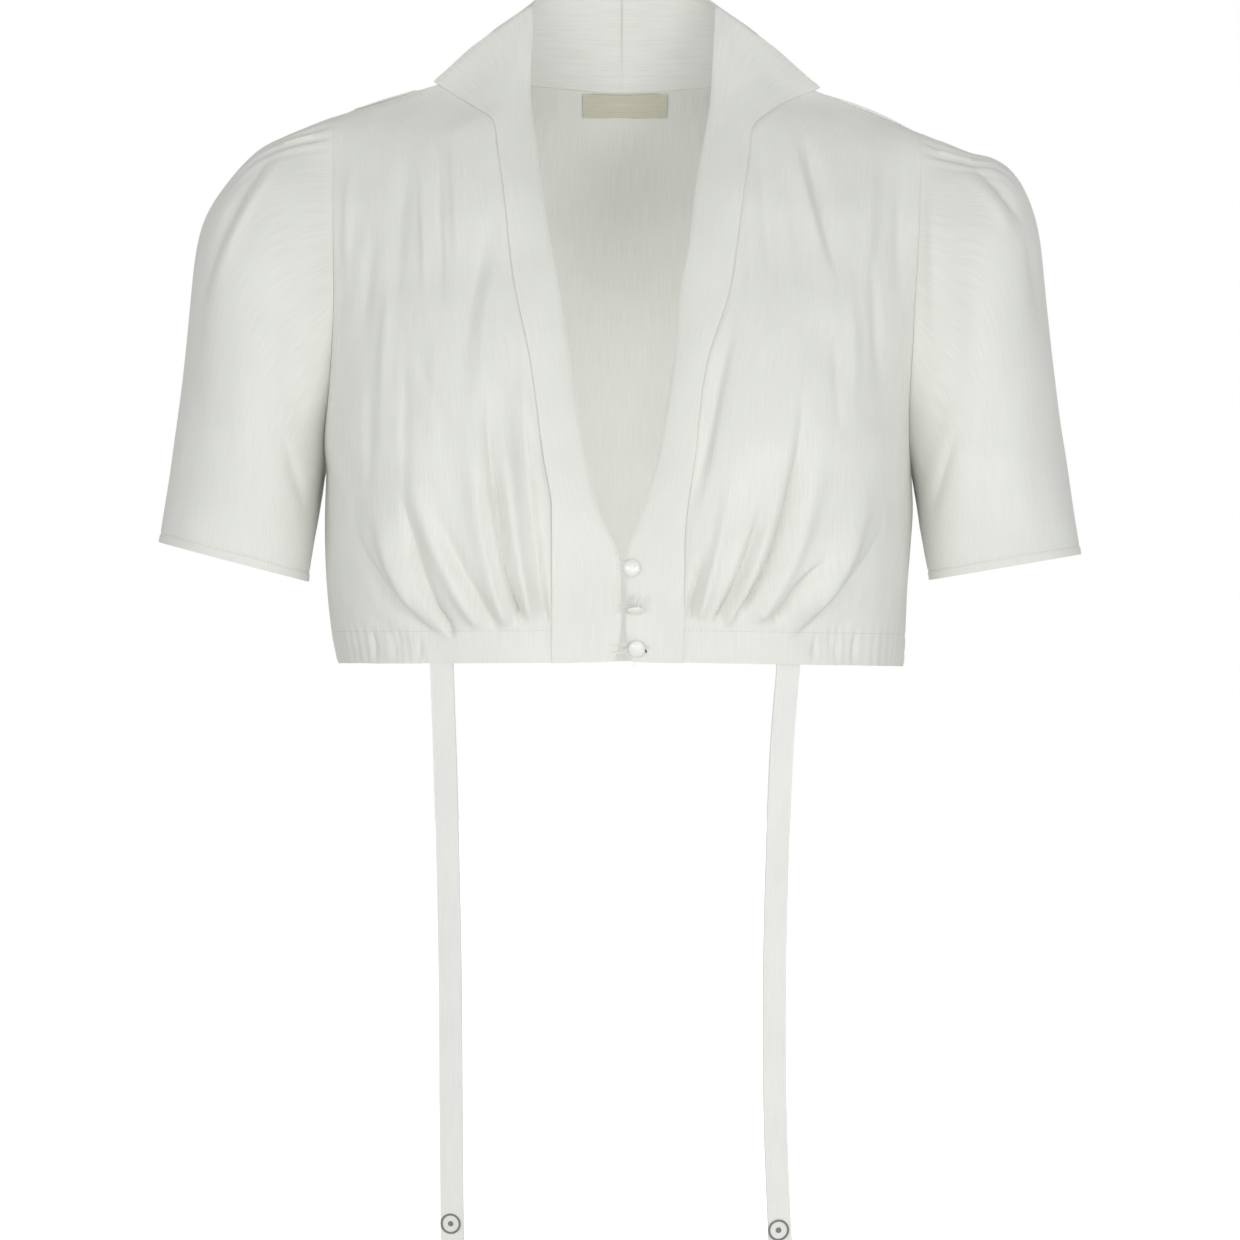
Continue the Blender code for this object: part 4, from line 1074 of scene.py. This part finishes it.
button_pearl = pearl()
for button in BUTTONS:
    profile = [(share * BUTTON_RADIUS, high * BUTTON_HEIGHT) for share, high in BUTTON_PROFILE]
    profile += [(SHANK_RADIUS, SHANK_HEIGHT), (SHANK_RADIUS, 0.0), (0.0, 0.0)]
    spun = bmesh.new()
    corners = [spun.verts.new((radius * MM, 0.0, high * MM)) for radius, high in profile]
    edges = [spun.edges.new(pair) for pair in zip(corners, corners[1:])]
    bmesh.ops.spin(
        spun,
        geom=corners + edges,
        axis=(0, 0, 1),
        cent=(0, 0, 0),
        angle=math.tau,
        steps=BUTTON_SEGMENTS,
        use_merge=True,
    )
    bmesh.ops.remove_doubles(spun, verts=spun.verts, dist=1e-6)
    bmesh.ops.recalc_face_normals(spun, faces=spun.faces)
    bmesh.ops.rotate(
        spun,
        verts=spun.verts,
        cent=(0, 0, 0),
        matrix=Matrix.Rotation(math.radians(90 + button.tilt), 3, "X"),
    )
    bmesh.ops.translate(spun, verts=spun.verts, vec=Vector((button.x, button.y, button.z)) * MM)
    add_piece("pearl_" + button.name, spun, button_pearl, "button", "button_" + button.name)


# Button loops: a satin cord of two twisted strands runs from the left band round each shank.
LOOP_RADIUS = 0.6
LOOP_TURN = 2.5
LOOP_STEPS = 120
LOOP_SIDES = 14
LOOP_TWIST_MM = 3.2
LOOP_START = -7.0

LoopEnds = namedtuple("LoopEnds", "start_y start_z end_y end_z")
LOOP_ENDS = {
    "top": LoopEnds(-116.53, -313.5, -115.9, -323.5),
    "middle": LoopEnds(-113.79, -347.8, -113.49, -351.6),
    "bottom": LoopEnds(-111.32, -372.4, -110.66, -377.2),
}


def cord_grid(route, radius, twist):
    """Lay rings of points round a route, with the two strands of a cord winding along it."""
    runs = unit(np.gradient(route, axis=0))
    lift = np.array([0.0, 0.0, 1.0])
    sideways = unit(np.cross(runs, lift) + 1e-6)
    upwards = np.cross(sideways, runs)
    reach = np.concatenate([[0.0], np.cumsum(np.linalg.norm(np.diff(route, axis=0), axis=1))])
    angles = np.linspace(0.0, math.tau, LOOP_SIDES + 1)
    wound = angles[None, :] - math.tau * reach[:, None] / twist
    swell = radius * (0.80 + 0.20 * np.abs(np.cos(wound)))
    ring = np.cos(angles)[None, :, None] * sideways[:, None] + np.sin(angles)[None, :, None] * upwards[:, None]
    return route[:, None] + swell[..., None] * ring


# Satin cord is a filament yarn twisted from two strands, which gives the eye a soft sheen in
# slanting bands.
satin_cord, cord_tree, cord_shader = blank_material("satin cord")
cord_shader.inputs["Base Color"].default_value = linear("#E4E6E0")
cord_shader.inputs["Roughness"].default_value = 0.5
cord_shader.inputs["Sheen Weight"].default_value = 0.3

for button in BUTTONS:
    axis, across, upward = button_frame(button)
    ends = LOOP_ENDS[button.name]
    middle = np.array([button.x, button.y, button.z]) + axis * SHANK_HEIGHT / 2
    points = [np.array([LOOP_START, ends.start_y, ends.start_z])]
    points.append(np.array([LOOP_START / 2, ends.start_y, ends.start_z]))
    for degrees in range(110, -111, -22):
        turn = math.radians(degrees)
        points.append(middle + LOOP_TURN * (math.cos(turn) * across + math.sin(turn) * upward))
    points.append(np.array([LOOP_START / 2, ends.end_y, ends.end_z]))
    points.append(np.array([LOOP_START, ends.end_y, ends.end_z]))
    route = along(smooth(points, 6), LOOP_STEPS)
    grid = cord_grid(route, LOOP_RADIUS, LOOP_TWIST_MM)
    corded = cloth_sheet(grid, even_threads(grid), False, 0.2)
    add_piece("cord_" + button.name, corded, satin_cord, "cord", "loop_" + button.name)


# Tie badges: a plain stitched ring with a dot stands for the small round mark near each tip.
BADGE_WALL = 0.25
BADGE_SEGMENTS = 64

Badge = namedtuple("Badge", "side x z radius")
BADGES = [Badge("left", -110.9, -747.0, 6.6), Badge("right", 101.3, -751.0, 6.9)]
RING_SHARES = (0.80, 1.0)
DOT_SHARE = 0.26

# Embroidery thread in soft grey is laid close round the ring, which gives the eye a fine
# raised line.
badge_thread, badge_tree, badge_shader = blank_material("grey embroidery thread")
badge_shader.inputs["Base Color"].default_value = linear("#7C7E7A")
badge_shader.inputs["Roughness"].default_value = 0.6

for badge in BADGES:
    depth, slope = TIE_DEPTH[badge.side]
    route = np.array(TIE_ROUTES[badge.side])
    tie_x = SIGN[badge.side] * np.interp(-badge.z, -route[:, 1], route[:, 0])
    raised = bmesh.new()
    for inner, outer in (RING_SHARES, (0.0, DOT_SHARE)):
        rim = bmesh.ops.create_circle(
            raised, cap_ends=True, segments=BADGE_SEGMENTS, radius=outer * badge.radius * MM
        )
        disc = {face for vert in rim["verts"] for face in vert.link_faces}
        if inner:
            width = (outer - inner) * badge.radius * MM
            bmesh.ops.inset_region(
                raised, faces=list(disc), thickness=width, use_boundary=True, use_even_offset=True
            )
            bmesh.ops.delete(raised, geom=list(disc), context="FACES_ONLY")
    bmesh.ops.recalc_face_normals(raised, faces=raised.faces)
    bmesh.ops.solidify(raised, geom=raised.faces[:], thickness=BADGE_WALL * MM)
    for vert in raised.verts:
        x, z = vert.co.x, vert.co.y
        share = (badge.x + x / MM - tie_x) / TIE_WIDTH
        front = depth + share * slope - BADGE_WALL
        vert.co = ((badge.x + x / MM) * MM, front * MM + vert.co.z, badge.z * MM + z)
    bmesh.ops.recalc_face_normals(raised, faces=raised.faces)
    add_piece("badge_" + badge.side, raised, badge_thread, "tie")
